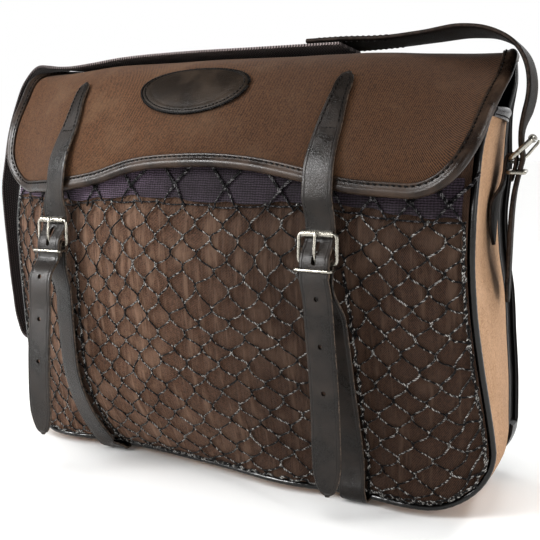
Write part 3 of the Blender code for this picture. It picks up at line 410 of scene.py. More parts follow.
def makeWebbing():
    # Polypropylene webbing, woven in ribs: near black with lighter flecks where threads cross.
    material, tree, shader = startMaterial(
        "wovenWebbing", Sheen_Weight=0.05, Specular_IOR_Level=0.15, Roughness=0.8)
    marks, along, across, _ = marksOf(tree)
    ribs = waveOf(tree, across, 2.4)
    chevron = addNode(tree, "Math", (across, 4.8), operation="PINGPONG")
    picks = waveOf(tree, addNode(tree, "Math", (along, chevron), operation="ADD"), 2.2)
    speck = addNode(tree, "TexNoise", {"Vector": marks, "Scale": 1.1, "Detail": 3.0, "Roughness": 0.75})
    weave = addNode(tree, "Math", (ribs, picks), operation="MULTIPLY")
    weave = addNode(tree, "Math", (speck, 0.9, weave), operation="MULTIPLY_ADD")
    flecks = addNode(tree, "MapRange", (weave, 0.4, 1.5), **soft)
    top = addNode(tree, "MapRange", (along, 360.0, 470.0))  # where the sling reaches the bag's top; painted light: its flecks are drawn paler there, where light falls on it
    paintedLitFlecks = addNode(tree, "Math", (flecks, top), operation="MULTIPLY")
    # painted light: the pale flecks along the sling's lit top
    layColours(tree, shader, "#0e0b0b", ((flecks, (), "#544848"), (paintedLitFlecks, (), "#a89a98")))
    raisePatterns(tree, shader, (weave, 0.4))
    return material


def makeTwine(name, dark, light, bright):
    # Two-ply twisted nylon twine: a dark cord, with painted highlights as grey and white flecks on its raised
    # turns.
    material, tree, shader = startMaterial(name, Specular_IOR_Level=0.08, Roughness=0.5)
    _, along, around, _ = marksOf(tree)
    slant = addNode(tree, "Math", (around, 1.4, along), operation="MULTIPLY_ADD")
    twist = waveOf(tree, slant, 2.2)  # real 1.6 mm, drawn coarser to show
    place = addNode(tree, "TexCoord", out="Object")  # in metres
    patch = addNode(tree, "TexNoise", {"Vector": place, "Scale": 90.0, "Detail": 3.0})
    fleck = addNode(tree, "TexNoise", {"Vector": place, "Scale": 420.0, "Detail": 2.0})
    # painted highlight: flecks of the light colour where the twist's raised turns would catch the light
    shine = addNode(tree, "MapRange", (patch, 0.36, 0.62, 0.5 * bright, bright), **soft)
    grey = addNode(tree, "MapRange", (fleck, 0.48, 0.6), **soft)
    for pattern in (twist, grey):
        shine = addNode(tree, "Math", (shine, pattern), operation="MULTIPLY")
    layColours(tree, shader, dark, ((shine, (), light),))
    raisePatterns(tree, shader, (twist, 0.3))
    return material


def makeNickel():
    # Nickel plated steel wire, polished and then worn: warm grey, tarnished dark in clouds.
    material, tree, shader = startMaterial("wornNickelPlate", Metallic=1.0)
    place = addNode(tree, "TexCoord", out="Object")  # in metres
    cloud = addNode(tree, "TexNoise", {"Vector": place, "Scale": 300.0, "Detail": 4.0, "Roughness": 0.6})
    fine = addNode(tree, "TexNoise", {"Vector": place, "Scale": 1500.0, "Detail": 3.0})
    layColours(tree, shader, "#9b978d", ((cloud, (0.48, 0.7, 0.0, 0.8), "#514d44"),))
    tree.links.new(addNode(tree, "MapRange", (cloud, 0.35, 0.7, 0.16, 0.42)), shader["Roughness"])
    raisePatterns(tree, shader, (fine, 0.02))
    return material


flapDrill = makeDrill("flapCottonDrill", "#1f120a", "#65442c", "#69503b", 0.45, 0.12)
frontDrill = makeDrill("frontCottonDrill", "#22170f", "#6c4e3d", "#8a6d5a", 0.72, 1.1)
# painted light: the gusset is the same drill as the front, drawn in a much paler copy for the strong light
# from the right
litGussetDrill = makeDrill("gussetDrillPaintedLight", "#6d4f39", "#c29a76", "#c8a383", 0.0, 0.25)
bridleLeather = makeLeather(
    "darkBridleLeather", "#15110e", "#251e19", "#5d4f43", 1.1, gloss=0.3, shine=0.2)
slingLeather = makeLeather(
    "blackSlingLeather", "#100d0b", "#231b16", "#352b25", 1.3, gloss=0.6, shine=0.05)
bindingLeather = makeLeather(
    "softBindingLeather", "#1a120d", "#3a2c22", "#3a2c22", 0.9,
    gloss=0.3, shine=0.18, pebble=0.03, crease=0.1)
patchLeather = makeLeather(
    "ovalPatchLeather", "#1c150f", "#2e241b", "#4a3e32", 0.9, gloss=0.38, shine=0.12, groove=0.0)
coatedCloth = makeLeather("coatedLeathercloth", "#090808", "#120f0e", "#120f0e", 1.4, gloss=0.34, groove=0.0)
pipingCover = makeLeather(
    "glossyPipingCover", "#040404", "#0a0908", "#0a0908", 0.7,
    gloss=0.14, pebble=0.01, shine=0.3, groove=0.0, crease=0.05)
# painted reflection: the gusset trim is dark glossy leather, drawn grey to stand in for its bright sheen
sheenPaintedTrimLeather = makeLeather(
    "trimLeatherPaintedSheen", "#3b3a3b", "#5c5b5c", "#5c5b5c", 0.9, gloss=0.3, pebble=0.04, shine=0.5, groove=0.0)
elasticKnit = makeElastic()
slingWeave = makeWebbing()
netTwine = makeTwine("twistedNetTwine", "#050404", "#b6b3ae", 1.0)
laceTwine = makeTwine("twistedLacingTwine", "#050405", "#a29ea0", 0.5)
blackThread = makeTwine("waxedBlackThread", "#060505", "#3c3733", 0.6)
wornNickel = makeNickel()
print("materials made")

# Form of the bag: tables of its sections, by height

shell = {
    "canvas": 2.0, "panelTop": 236.0, "mouth": 258.0, "backTop": 291.0, "backSeam": 25.0,
    "backDepth": 13.0, "frontCorner": 40.0, "backCorner": 38.0, "frontLow": 6.0, "backLow": 5.0,
    "frontPiping": 2.0, "backPiping": 1.6, "panelStation": 150.0, "strapStation": 104.0,
    "liningStation": 60.0,
}
halfRows = (  # height, half width at the front seam, at the rear seam
    (0, 196, 186), (45, 196, 186), (75, 193, 185), (105, 190, 182.5), (135, 188, 180), (165, 187, 175),
    (190, 187, 173.5), (215, 187, 175.5), (258, 186, 178), (278, 186, 182), (296, 184, 181),
)
frontRows = (  # height, how far forward the face stands at eight stations from left to right
    (0, 45, 58, 49, 56, 66, 60, 63, 46),
    (30, 44, 61, 68, 69, 66, 58, 60, 47),
    (62, 46, 68, 83, 83, 76, 67, 64, 52),
    (100, 53, 74, 89, 92, 87, 79, 73, 62),
    (140, 59, 77, 92, 98, 95, 89, 84, 73),
    (175, 61, 76, 93, 100, 98, 94, 89, 78),
    (210, 55, 66, 88, 94.5, 94, 90, 86, 75),
    (238, 48, 58, 81, 85, 86, 82, 75, 64),
    (258, 44, 54, 66, 68, 68, 64, 55, 44),
)


def halfWidthAt(height, seam):
    return readTable(halfRows, height)[..., 0 if seam == "front" else 1]


def forwardAt(x, height):
    across = readTable(frontRows, height)
    half = halfWidthAt(height, "front")
    inner = (-shell["panelStation"], -shell["strapStation"], 0.0, shell["liningStation"],
             shell["strapStation"], shell["panelStation"])
    stations = np.stack([-half, *(np.full_like(half, each) for each in inner), half], axis=-1)
    return smoothAt(x, stations, across)


def frontAt(x, height, offset=0.0):
    x, height = np.broadcast_arrays(np.asarray(x, float), np.asarray(height, float))
    d = 2.0  # half the stretch over which a slope is taken
    dx = (forwardAt(x + d, height) - forwardAt(x - d, height)) / (2 * d)
    dz = (forwardAt(x, height + d) - forwardAt(x, height - d)) / (2 * d)
    outs = unit(np.stack([-dx, -np.ones_like(dx), -dz], axis=-1))
    points = np.stack([x, -forwardAt(x, height), height], axis=-1)
    return points + outs * np.asarray(offset, float)[..., None], outs


def cornerHeight(x, half, radius, low):
    over = np.maximum(0.0, np.abs(x) - (half - radius))
    return low + radius - np.sqrt(np.maximum(0.0, radius**2 - over**2))


def seamLine(seam, top, sideCount=60, cornerCount=16, bottomCount=56):
    radius, low = shell[seam + "Corner"], shell[seam + "Low"]
    flat = float(halfWidthAt(0, seam)) - radius
    turn = np.linspace(0, math.pi / 2, cornerCount + 1)[1:]
    side = low + radius + (top - low - radius) * np.linspace(0, 1, sideCount + 1)[1:]
    x = np.concatenate(
        [np.linspace(0, flat, bottomCount + 1), flat + radius * np.sin(turn), halfWidthAt(side, seam)])
    z = np.concatenate([np.full(bottomCount + 1, low), low + radius * (1 - np.cos(turn)), side])
    return np.concatenate([-x[:0:-1], x]), np.concatenate([z[:0:-1], z])


def frontSeamPoints(x, z):
    return np.stack([x, -forwardAt(x, z) + shell["canvas"] / 2, z], axis=-1)


def sineSpaced(half, count):  # places across a panel, closer together at its edges
    return half * np.sin(np.linspace(-math.pi / 2, math.pi / 2, count))


# Front canvas

frontCanvas = {
    "columns": 190, "rows": 120, "crinkle": 0.7, "fineCrinkle": 0.3, "lean": 6.0, "leanSize": (60, 90),
    "foldSize": (13, 85), "fineSize": (4.5, 40), "calmSide": 25.0, "calmFoot": 20.0,
}


def makeFrontCanvas():
    inset = shell["frontPiping"] + gap
    base = float(halfWidthAt(0, "front"))
    half, radius, low = base - inset, shell["frontCorner"] - inset, shell["frontLow"] + inset
    spread = sineSpaced(half, frontCanvas["columns"])[None, :]
    bottom = cornerHeight(spread, half, radius, low)
    share = np.linspace(0, 1, frontCanvas["rows"])[:, None] ** 1.1  # closer rows at the foot
    z = bottom + (shell["panelTop"] - bottom) * share
    x = spread * (halfWidthAt(z, "front") - inset) / half
    points, outs = frontAt(x, z)
    lean = x + frontCanvas["lean"] * ripples(x, z, *frontCanvas["leanSize"], 4.0)
    folds = 1 - 2 * np.abs(ripples(lean, z, *frontCanvas["foldSize"], 1.0))
    fine = ripples(lean, z, *frontCanvas["fineSize"], 2.0)
    calm = ease((half - np.abs(x)) / frontCanvas["calmSide"]) * ease((z - bottom) / frontCanvas["calmFoot"])
    depth = calm * (frontCanvas["crinkle"] * (folds - 0.75) + frontCanvas["fineCrinkle"] * (fine - 0.3))
    points = points + outs * depth[..., None]
    part = clothPart(points, shell["canvas"], clothMarks(x, z))
    piece = addPiece("frontCanvas", [part], frontDrill, ["front_panel"])


# Gusset

gusset = {
    "across": 26, "swell": 3.0, "pinch": 4.5, "pinchHeight": 185.0, "pinchSpan": 40.0, "outset": 1.0,
    "wrinkle": 0.5, "calm": 8.0, "dentSize": (26, 15), "smallDentSize": (9, 11), "trimFold": 7.5,
    # how the lower part settles on the floor: share of the depth, share of the drop
    "settled": ((0.0, 0.06, 0.15, 0.35, 0.6, 0.84, 0.94, 1.0), (0, 0.45, 0.9, 1, 1, 1, 0.7, 0)),
}


def sideSwell(depth, height):
    near = np.exp(-(((height - gusset["pinchHeight"]) / gusset["pinchSpan"]) ** 2))
    return (gusset["swell"] - gusset["pinch"] * near) * np.sin(math.pi * depth)


def gussetGrid():
    fronts, backs = seamLine("front", shell["mouth"]), seamLine("back", shell["mouth"])
    depth = 0.5 - 0.5 * np.cos(np.linspace(0, math.pi, gusset["across"]))
    settled = smoothAt(depth, *gusset["settled"])
    seam = frontSeamPoints(*fronts)
    steep = 1 / np.sqrt(1 - tangentsOf(seam)[:, 1] ** 2)
    start = seam + np.stack([0 * steep, (shell["frontPiping"] + gap) * steep, 0 * steep], axis=-1)
    rear = shell["backSeam"] - shell["backPiping"] - gap
    end = np.stack([backs[0], np.full_like(backs[0], rear), backs[1]], axis=-1)
    flat = float(halfWidthAt(0, "front")) - shell["frontCorner"]
    side = np.sign(fronts[0]) * np.maximum(0.0, np.abs(fronts[0]) - flat)
    drop = np.minimum(0.0, fronts[1] - shell["frontLow"] - shell["frontCorner"])
    out = unit(np.stack([side, 0 * side, drop], axis=-1))
    swell = gusset["outset"] + sideSwell(depth[None], fronts[1][:, None]) * out[:, :1] ** 2
    grid = start[:, None] + (end - start)[:, None] * depth[None, :, None] + out[:, None] * swell[..., None]
    low = shell["frontLow"] * (1 - depth) + shell["backLow"] * depth
    grid[..., 2] -= (low - gusset["outset"]) * settled * out[:, 2:] ** 2
    return grid


def makeGusset():
    grid = gussetGrid()
    outs = normalsOf(grid)
    along, across = lengthAlong(grid[:, 12]), lengthAlong(grid.swapaxes(0, 1)).T
    along = np.broadcast_to(along[:, None], across.shape)
    width = across[:, -1:]
    calm = ease(across / gusset["calm"]) * ease((width - across) / gusset["calm"]) * np.abs(outs[..., 0])
    dent = ripples(along, across, *gusset["dentSize"], 5.0)
    dent = dent + 0.5 * ripples(along, across, *gusset["smallDentSize"], 6.0)
    grid = grid + outs * (calm * gusset["wrinkle"] * (dent - 0.4))[..., None]
    part = clothPart(grid, shell["canvas"], clothMarks(across, along))
    piece = addPiece("gussetCanvas", [part], litGussetDrill, ["gusset_panel"])


# Back panel

backPanel = {
    "columns": 110, "rows": 100, "wall": 7.0, "wallStep": 1.5, "rounding": 9.0, "roundIn": 24.0,
    "belly": 5.0, "fullHeight": 90.0, "splay": 3.5, "calmIn": 30.0,
    "rucks": ((1.8, 70, 45, 8.0), (0.8, 24, 34, 9.0)),  # depth, width, height, seed
}


def makeBackPanel():
    base, low = float(halfWidthAt(0, "back")), shell["backLow"]
    frontEdge, step = shell["backSeam"] + shell["backPiping"] + gap, backPanel["wallStep"]
    spread = sineSpaced(base, backPanel["columns"])[None, ::-1]
    bottom = cornerHeight(spread, base, shell["backCorner"], low)
    share = np.linspace(0, 1, backPanel["rows"])[:, None] ** 1.15  # closer rows at the foot
    height = bottom + (shell["backTop"] - bottom) * share
    fullness = ease((shell["backTop"] - height) / backPanel["fullHeight"])
    inside = np.minimum(base - np.abs(spread), 0.9 * (height - bottom))
    rounding = 1 - (1 - np.minimum(inside / backPanel["roundIn"], 1)) ** 2
    belly = np.cos(math.pi / 2 * spread / base) * np.minimum(1, (height - bottom) / backPanel["fullHeight"])
    swell = shell["backDepth"] - backPanel["wall"]
    swell = swell + backPanel["rounding"] * rounding + backPanel["belly"] * belly
    splay = backPanel["splay"] * fullness * (1 - rounding) / base
    x = spread * halfWidthAt(height, "back") / base * (1 + splay)
    calm = ease(inside / backPanel["calmIn"]) * fullness
    ruck = sum(deep * ripples(x, height, *size) for deep, *size in backPanel["rucks"])
    depth = backPanel["wall"] + swell * fullness + calm * ruck
    face = np.stack([x, frontEdge + depth, height], axis=-1)
    rim = [face[:, :1], face[:, -1:]]
    wall = []
    for edge in rim:
        edge[..., 0] = np.sign(edge[..., 0]) * halfWidthAt(edge[..., 2], "back")
        wall += [edge * (1, 0, 1) + (0, frontEdge + step * k, 0) for k in (0, 1, 2)]
    grid = np.concatenate([*wall[:3], face, *wall[:2:-1]], axis=1)
    foot = [np.array(grid[:1]) for _ in range(3)]
    for k, row in enumerate(foot):
        row[..., 1] = np.minimum(row[..., 1], frontEdge + step * k)
    grid = np.concatenate(foot + [grid])
    normals = normalsOf(grid)
    flat = unit(normals * (1, 0, 1) + (0, 0, -1e-6))
    atRim = grid[..., 1] < frontEdge + 0.1
    normals[atRim] = flat[atRim]
    for c in range(0, 4):
        normals[0:3, c] = normals[0, 4]
        normals[0:3, -1 - c] = normals[0, -5]
    across = lengthAlong(grid.swapaxes(0, 1)).T
    part = clothPart(grid, shell["canvas"], clothMarks(across, lengthAlong(grid)), normals)
    piece = addPiece("backLeathercloth", [part], coatedCloth, ["back_panel"])
    seam = grid[-5, 5:-5]
    rearward = np.tile((0.0, 1.0, 0.0), (len(seam), 1))
    addStitches("backSeamStitches", stitchParts(seam, rearward, 3.8, 2.8, 0.42))


# Piping in both seams


def addPiping(seam, path, sides, pucker=1.0):
    cord = tubePart(path, shell[seam + "Piping"] * pucker, sides, up=(0, 1, 0))
    addPiece(seam + "PipingCord", [cord], pipingCover, [seam + "_piping"])


def makePiping():
    path = frontSeamPoints(*seamLine("front", shell["mouth"] - 2, 110, 26, 110))
    pucker = 1 + 0.035 * np.sin(lengthAlong(path) * 2 * math.pi / 5.2)  # drawn in at each stitch
    addPiping("front", path, 14, pucker)
    x, z = seamLine("back", shell["backTop"] - 3, 120, 26, 110)
    addPiping("back", np.stack([x, np.full_like(x, shell["backSeam"]), z], axis=-1), 12)


# Leather folded over a cloth edge. Its section runs in from the edge and up from the cloth's face,
# first round the outer face and then back round the inner one.

binding = {
    "leather": 1.2, "lift": 0.35, "rollLift": 1.25, "over": 1.6, "stitchIn": 0.74, "profileStep": 0.9,
    "top": (  # share of the reach, how far below the leather's full height
        (1.0, 0.9), (0.985, 0.35), (0.93, 0.0), (0.85, 0.0),
        (0.78, 0.12), (0.74, 0.35), (0.7, 0.12), (0.62, 0.0),
    ),
}


def rollArc(centre, radius, steps):  # half round the cloth's edge
    return [(centre - radius * math.sin(turn), radius * math.cos(turn) - shell["canvas"] / 2)
            for turn in np.linspace(0, math.pi, steps)]


def underCloth(section):  # the same section on the cloth's other face
    return [(d, -shell["canvas"] - h) for d, h in reversed(section)]


def foldedParts(edge, reach, edgeOut, reachOut):
    leather, lift, cloth = binding["leather"], binding["lift"], shell["canvas"]
    inward = reach - edge
    mean = float(np.linalg.norm(inward, axis=1).mean())
    inward = unit(inward - edgeOut * np.sum(inward * edgeOut, axis=1, keepdims=True))
    roll = binding["rollLift"] + leather + cloth / 2  # radius of the roll about the cloth's middle
    centre = roll - binding["over"]
    top = [(mean * share, lift + leather - drop) for share, drop in binding["top"]]
    start, end = top[-1], (centre, roll - cloth / 2)
    for t in np.linspace(0, 1, 5)[1:-1]:
        top.append((start[0] + (end[0] - start[0]) * t, start[1] + (end[1] - start[1]) * float(ease(t))))
    inner = [(mean, lift - 0.3), (mean * 0.6, lift), (centre, roll - leather - cloth / 2)]
    outerFace = top + rollArc(centre, roll, 13) + underCloth(top)
    innerFace = inner + rollArc(centre, roll - leather, 7)[1:-1] + underCloth(inner)
    columns, marks = [], []
    for number, (d, h) in enumerate(outerFace + innerFace[::-1]):
        share = max(0.0, min(1.0, d / mean))
        out = unit(edgeOut * (1 - share) + reachOut * share)
        columns.append(edge + (reach - edge) * share + inward * min(0.0, d) + out * h)
        marks.append(clothMarks(lengthAlong(edge), number * binding["profileStep"]))
    grid, marks = np.stack(columns, axis=1), np.stack(marks, axis=1)
    stitchIn = binding["stitchIn"]
    seamOut = unit(edgeOut * (1 - stitchIn) + reachOut * stitchIn)
    seam = edge + (reach - edge) * stitchIn + seamOut * (lift + leather - 0.3)
    return (grid.reshape(-1, 3), tubeFaces(*grid.shape[:2]), marks.reshape(-1, 3)), (seam, seamOut)


def makeGussetTrims():
    grid = gussetGrid()
    outs = normalsOf(grid)
    threads = []
    for side, row, below in (("left", 0, 1), ("right", -1, -2)):
        edge, out = grid[row][1:-1], outs[row][1:-1]
        reach = edge + unit(grid[below][1:-1] - edge) * gusset["trimFold"]
        part, seam = foldedParts(edge, reach, out, out)
        addPiece("gussetTrim" + side.title(), [part], sheenPaintedTrimLeather, ["gusset_trim_" + side])
        threads += stitchParts(*seam, 3.2, 2.2, 0.42)
    addStitches("gussetTrimStitches", threads)


makeFrontCanvas()
makeGusset()
makeBackPanel()
makePiping()
makeGussetTrims()
print("body made")

# Flap

flap = {
    "half": 190.0, "leftCorner": 32.0, "rightCorner": 36.0, "rows": 90, "middleColumns": 130,
    "cornerColumns": 16, "sidesFrom": 90.0, "calmHem": 22.0, "calmSide": 25.0, "ripple": 0.5,
    "waves": ((1.0, 70, 40, 11.0), (0.4, 24, 20, 12.0)),  # share, width, height, seed
    "fold": 7.5, "boundTo": 10 / 11, "boundRows": 67, "boundStep": 1.6,
}
flapRows = (  # forward and height at the left, the straps, the middle and the right; half width
    (66, 190, 103, 190, 105, 190, 98, 190, 190),
    (67, 222, 101.5, 222, 104, 222, 94.5, 225, 190),
    (62, 247, 90, 248, 95, 248, 70, 247, 190),
    (50, 268, 73, 274, 76, 275, 43, 266, 190),
    (37, 286, 53, 289, 55, 290, 18, 281, 190),
    (18, 292, 28, 295.5, 29, 296, 5, 292, 189),
    (-12, 294.5, -12, 297, -12, 297, -13, 295, 185),
    (-34, 293, -34, 294, -34, 294, -34, 293, 182),
)
hemRows = (  # across, height of the hem
    (-158, 201), (-104, 205), (-70, 210.5), (-40, 219), (0, 223), (46, 222),
    (88, 215), (113, 209.5), (154, 206.5),
)


def flapAt(x, row):
    line = smoothAt(np.asarray(row, float)[..., None], np.arange(len(flapRows)), np.array(flapRows, float).T)
    start = flap["sidesFrom"]
    left, right = (ease((sign * x - start) / (flap["half"] - start)) for sign in (-1, 1))
    middle = np.cos(math.pi / 2 * np.minimum(1.0, np.abs(x) / shell["strapStation"])) ** 2
    shares = (left, 1 - left - right - middle, middle, right)
    ahead = sum(share * line[..., 2 * k] for k, share in enumerate(shares))
    height = sum(share * line[..., 2 * k + 1] for k, share in enumerate(shares))
    return np.stack([x * line[..., -1] / flap["half"], -ahead, height], axis=-1)


def flapSlopes(x, row):
    d = 0.02
    across = (flapAt(x + 1, row) - flapAt(x - 1, row)) / 2
    along = (flapAt(x, row + d) - flapAt(x, row - d)) / (2 * d)
    return across, along


def flapNormals(x, row):
    return unit(np.cross(*flapSlopes(x, row)))


def flapRowAt(x, height):
    x, height = np.broadcast_arrays(np.asarray(x, float), np.asarray(height, float))
    low, high = np.zeros_like(x), np.full_like(x, 4.5)
    for _ in range(30):
        middle = (low + high) / 2
        under = flapAt(x, middle)[..., 2] < height
        low, high = np.where(under, middle, low), np.where(under, high, middle)
    return low


def flapEdge():
    hem = np.array(hemRows, float).T
    columns = []
    for sign, radius in ((-1, flap["leftCorner"]), (1, flap["rightCorner"])):
        start = flap["half"] - radius
        turn = np.linspace(0, math.pi / 2, flap["cornerColumns"] + 1)[1:]
        low = float(smoothAt(sign * start, *hem))
        columns += list(zip(sign * (start + radius * np.sin(turn)), low + radius * (1 - np.cos(turn))))
    left, right = flap["leftCorner"] - flap["half"], flap["half"] - flap["rightCorner"]
    x = np.linspace(left, right, flap["middleColumns"] + 1)
    columns += list(zip(x, smoothAt(x, *hem)))
    edge = np.array(sorted(columns))
    return edge[:, 0], flapRowAt(edge[:, 0], edge[:, 1])


def flapPlaces(rows, last=1.0):
    x, start = flapEdge()
    share = np.linspace(0, last, rows)[:, None]
    return np.broadcast_to(x, (rows, len(x))), start + (len(flapRows) - 1 - start) * share


def makeFlap():
    x, row = flapPlaces(flap["rows"])
    points, outs = flapAt(x, row), flapNormals(x, row)
    along = lengthAlong(points)
    calm = ease(along / flap["calmHem"]) * ease((flap["half"] - np.abs(x)) / flap["calmSide"])
    wave = sum(share * ripples(x, along, *size) for share, *size in flap["waves"])
    points = points + outs * (calm * flap["ripple"] * (wave - 0.2))[..., None]
    part = clothPart(points, shell["canvas"], clothMarks(x, along))
    piece = addPiece("flapCanvas", [part], flapDrill, ["flap"])


def makeFlapBinding():
    x, row = flapPlaces(flap["boundRows"], flap["boundTo"])
    edgeX = np.concatenate([x[:0:-1, 0], x[0], x[1:, -1]])
    edgeRow = np.concatenate([row[:0:-1, 0], row[0], row[1:, -1]])
    rough = flapAt(edgeX, edgeRow)
    measure = lengthAlong(rough)
    even = np.linspace(0, measure[-1], int(measure[-1] / flap["boundStep"]))
    edgeX, edgeRow = np.interp(even, measure, edgeX), np.interp(even, measure, edgeRow)
    edge, outs = flapAt(edgeX, edgeRow), flapNormals(edgeX, edgeRow)
    inward = np.cross(outs, tangentsOf(edge))
    across, along = flapSlopes(edgeX, edgeRow)
    moves = np.array([
        np.linalg.lstsq(np.stack([a, b], axis=1), flap["fold"] * step, rcond=None)[0]
        for a, b, step in zip(across, along, inward)
    ])
    inX, inRow = edgeX + moves[:, 0], edgeRow + moves[:, 1]
    part, seam = foldedParts(edge, flapAt(inX, inRow), outs, flapNormals(inX, inRow))
    addPiece("flapBinding", [part], bindingLeather, ["flap_binding"])
    addStitches("flapBindingStitches", stitchParts(*seam, 3.8, 2.6, 0.6, slant=0.5))


patch = {
    "across": -6.0, "row": 2.95, "halfWidth": 42.0, "halfRows": 0.66, "seat": 0.5, "spokes": 120,
    "seamShare": 0.935, "seamLift": 1.35, "rimOut": (0.5, 0.012), "rimLift": 1.1,
    "topHeight": 1.75, "rings": (  # share of the radius, height
        (0.3, 1.75), (0.6, 1.7), (0.79, 1.62), (0.815, 1.5), (0.84, 1.62), (0.9, 1.55), (0.93, 1.3),
        (0.955, 1.45), (0.985, 1.25), (1.0, 0.8), (1.0, 0.3), (0.98, 0.0), (0.5, 0.0),
    ),
}


def ovalAt(turn, halfWidth, halfRows, height):  # on an oval about the patch's middle, above the flap
    place = (patch["across"] + halfWidth * np.cos(turn), patch["row"] + halfRows * np.sin(turn))
    outs = flapNormals(*place)
    return flapAt(*place) + outs * height, outs


def makePatch():  # an oval of leather, left bare, with a creased line inside its stitched rim
    spokes, rings, seat = patch["spokes"], patch["rings"], patch["seat"]
    wide, tall = patch["halfWidth"], patch["halfRows"]
    turn = np.linspace(0, 2 * math.pi, spokes, endpoint=False)
    grid = np.stack([ovalAt(turn, wide * share, tall * share, seat + height)[0] for share, height in rings])
    middle = [ovalAt(0.0, 0.0, 0.0, seat + height)[0] for height in (patch["topHeight"], 0.0)]
    faces = gridFaces(len(grid), spokes, False, True).tolist()
    low, top = (len(rings) - 1) * spokes, len(rings) * spokes
    faces += [[top, (k + 1) % spokes, k] for k in range(spokes)]
    faces += [[top + 1, low + k, low + (k + 1) % spokes] for k in range(spokes)]
    points = np.concatenate([grid.reshape(-1, 3), middle])
    edge = np.repeat([12.0 * (1.02 - share) for share, _ in rings], spokes)
    edge = np.concatenate([edge, [farIn, farIn]])
    marks = np.stack([points[:, 0], points[:, 2], edge], axis=-1)
    addPiece("namePatch", [(points, faces, marks)], patchLeather, ["name_patch"])
    loop, inner = np.append(turn, turn[0]), patch["seamShare"]
    seam = ovalAt(loop, wide * inner, tall * inner, seat + patch["seamLift"])
    rim = ovalAt(loop, wide + patch["rimOut"][0], tall + patch["rimOut"][1], patch["rimLift"])
    threads = stitchParts(*seam, 2.6, 2.0, 0.42) + stitchParts(*rim, 1.9, 2.3, 0.75, slant=1.4)
    addStitches("patchStitches", threads)


makeFlap()
makeFlapBinding()
makePatch()
print("flap made")

# Elastic band and its lacing

band = {
    "width": 24.0, "thickness": 1.5, "columns": 230, "rows": 16, "ruck": 0.35, "ruckSize": (9, 30),
    "scallop": 1.6, "scallopSpan": 7.0, "tieSpan": 3.0,
}
bandRows = ((-183, 196), (-94, 196), (-48, 200), (31, 198), (112, 199), (158, 193), (181, 192))
laceTies = (-172, -140, -108, -74.6, -42.9, -7.7, 32.1, 70.8, 104, 131, 153, 174)
lacing = {
    "knotHeight": 8.5, "reach": 15.5, "lift": 0.75, "twin": 0.55, "twinRadius": 0.62,
    "lowReach": 9.0, "lowRadius": 0.7, "knotLift": 1.1, "knot": (1.2, 1.7),
}


def bandHeight(x):
    return readTable(bandRows, x)[..., 0]


def makeBand():
    x = np.linspace(bandRows[0][0], bandRows[-1][0], band["columns"])[None]
    share = np.linspace(0, 1, band["rows"])[:, None]
    nearest = np.min(np.abs(x[..., None] - np.array(laceTies)), axis=-1)
    scallop = band["scallop"] * np.exp(-((nearest / band["scallopSpan"]) ** 2))
    z = bandHeight(x) + scallop * (1 - share) + band["width"] * share
    pull = band["ruck"] * np.exp(-((nearest / band["tieSpan"]) ** 2)) * (1 - share)
    bulge = band["ruck"] * ripples(x + 0 * z, z, *band["ruckSize"], 21.0) - pull
    points = frontAt(x + 0 * z, z, gap + 0.4 + band["thickness"] + bulge)[0]
    part = clothPart(points, band["thickness"], clothMarks(x, z))
    addPiece("elasticBand", [part], elasticKnit, ["net_band"])


def bandOver(x, z, lift):  # a point over the band, or over the canvas below it
    onBand = ease((z - bandHeight(x) + 3) / 4)
    return frontAt(x, z, 1.0 + (band["thickness"] + 0.2) * onBand + lift)[0]


def makeLacing():
    pick = random.Random(5)
    parts = []
    for tie in laceTies:
        middle = float(bandHeight(tie)) + lacing["knotHeight"] + pick.uniform(-1.5, 1.5)
        for side in (-1, 1):
            reach = side * (lacing["reach"] + pick.uniform(-1, 1))
            t = np.linspace(0, 1, 12)
            x = tie + reach * t * (1 + 0.1 * np.sin(t * 3))
            z = middle + (band["width"] - 5) * t + 0.8 * np.sin(t * 5 + side)
            for twin in (-lacing["twin"], lacing["twin"]):
                line = bandOver(x + twin, z, lacing["lift"])
                parts.append(tubePart(line, lacing["twinRadius"], 6, up=(0, 1, 0)))
            low = float(bandHeight(tie + side * 8)) - 4
            z = middle + (low - middle) * t
            x = tie + side * lacing["lowReach"] * t**0.8
            line = bandOver(x, z, lacing["lift"])
            parts.append(tubePart(line, lacing["lowRadius"], 6, up=(0, 1, 0)))
        for _ in range(3):
            x, z = tie + pick.uniform(-0.9, 0.9), middle + pick.uniform(-1.2, 1.2)
            parts.append(dotPart(bandOver(x, z, lacing["knotLift"]), pick.uniform(*lacing["knot"]), 0.8))
    return parts


makeBand()

# Net pocket, and the tables of the front straps that it bunches against

frontStrap = {
    "leather": 2.2, "width": 20.0, "buckleHeight": 174.0, "keeperDrop": 12.5,
    "standsOff": {"left": 3.2, "right": 0.4}, "tip": {"left": 31.0, "right": 17.0},
    "holes": (144, 114, 84), "netOffset": 2.1, "netThickness": 1.3,
}
frontBuckleSize = {"width": 21.5, "frame": 18.0, "wire": 1.2, "roller": 2.3}
sideBuckleSize = {"width": 40.0, "frame": 17.5, "wire": 1.5, "roller": 2.6}
upperRows = (  # height, middle of the left strap, of the right strap
    (17, -107.5, 105.5), (100, -108, 104), (150, -108.5, 102.5), (183, -108.5, 101),
    (210, -104.5, 101), (232, -103.5, 101), (250, -103, 101.5), (280, -107, 103),
)
lowerRows = (
    (2, -97, 108.5), (12, -102, 107.5), (31, -107, 106), (62, -108.5, 105), (130, -108, 104),
    (165, -108.5, 101),
)
net = {
    "columns": 40, "rows": 18, "radius": 0.56, "lift": 0.95, "jitter": 1.7, "drift": 5.0, "sag": 1.6,
    "knot": 0.9, "steps": 11, "kink": 0.8, "offFloor": 5.5, "crowding": 1.06, "bunched": (10, 160),
    "gather": ((0.0, 0.4, 0.77, 1.0), (-1.0, -0.33, 0.5, 1.0)),  # share of its columns, place across
}


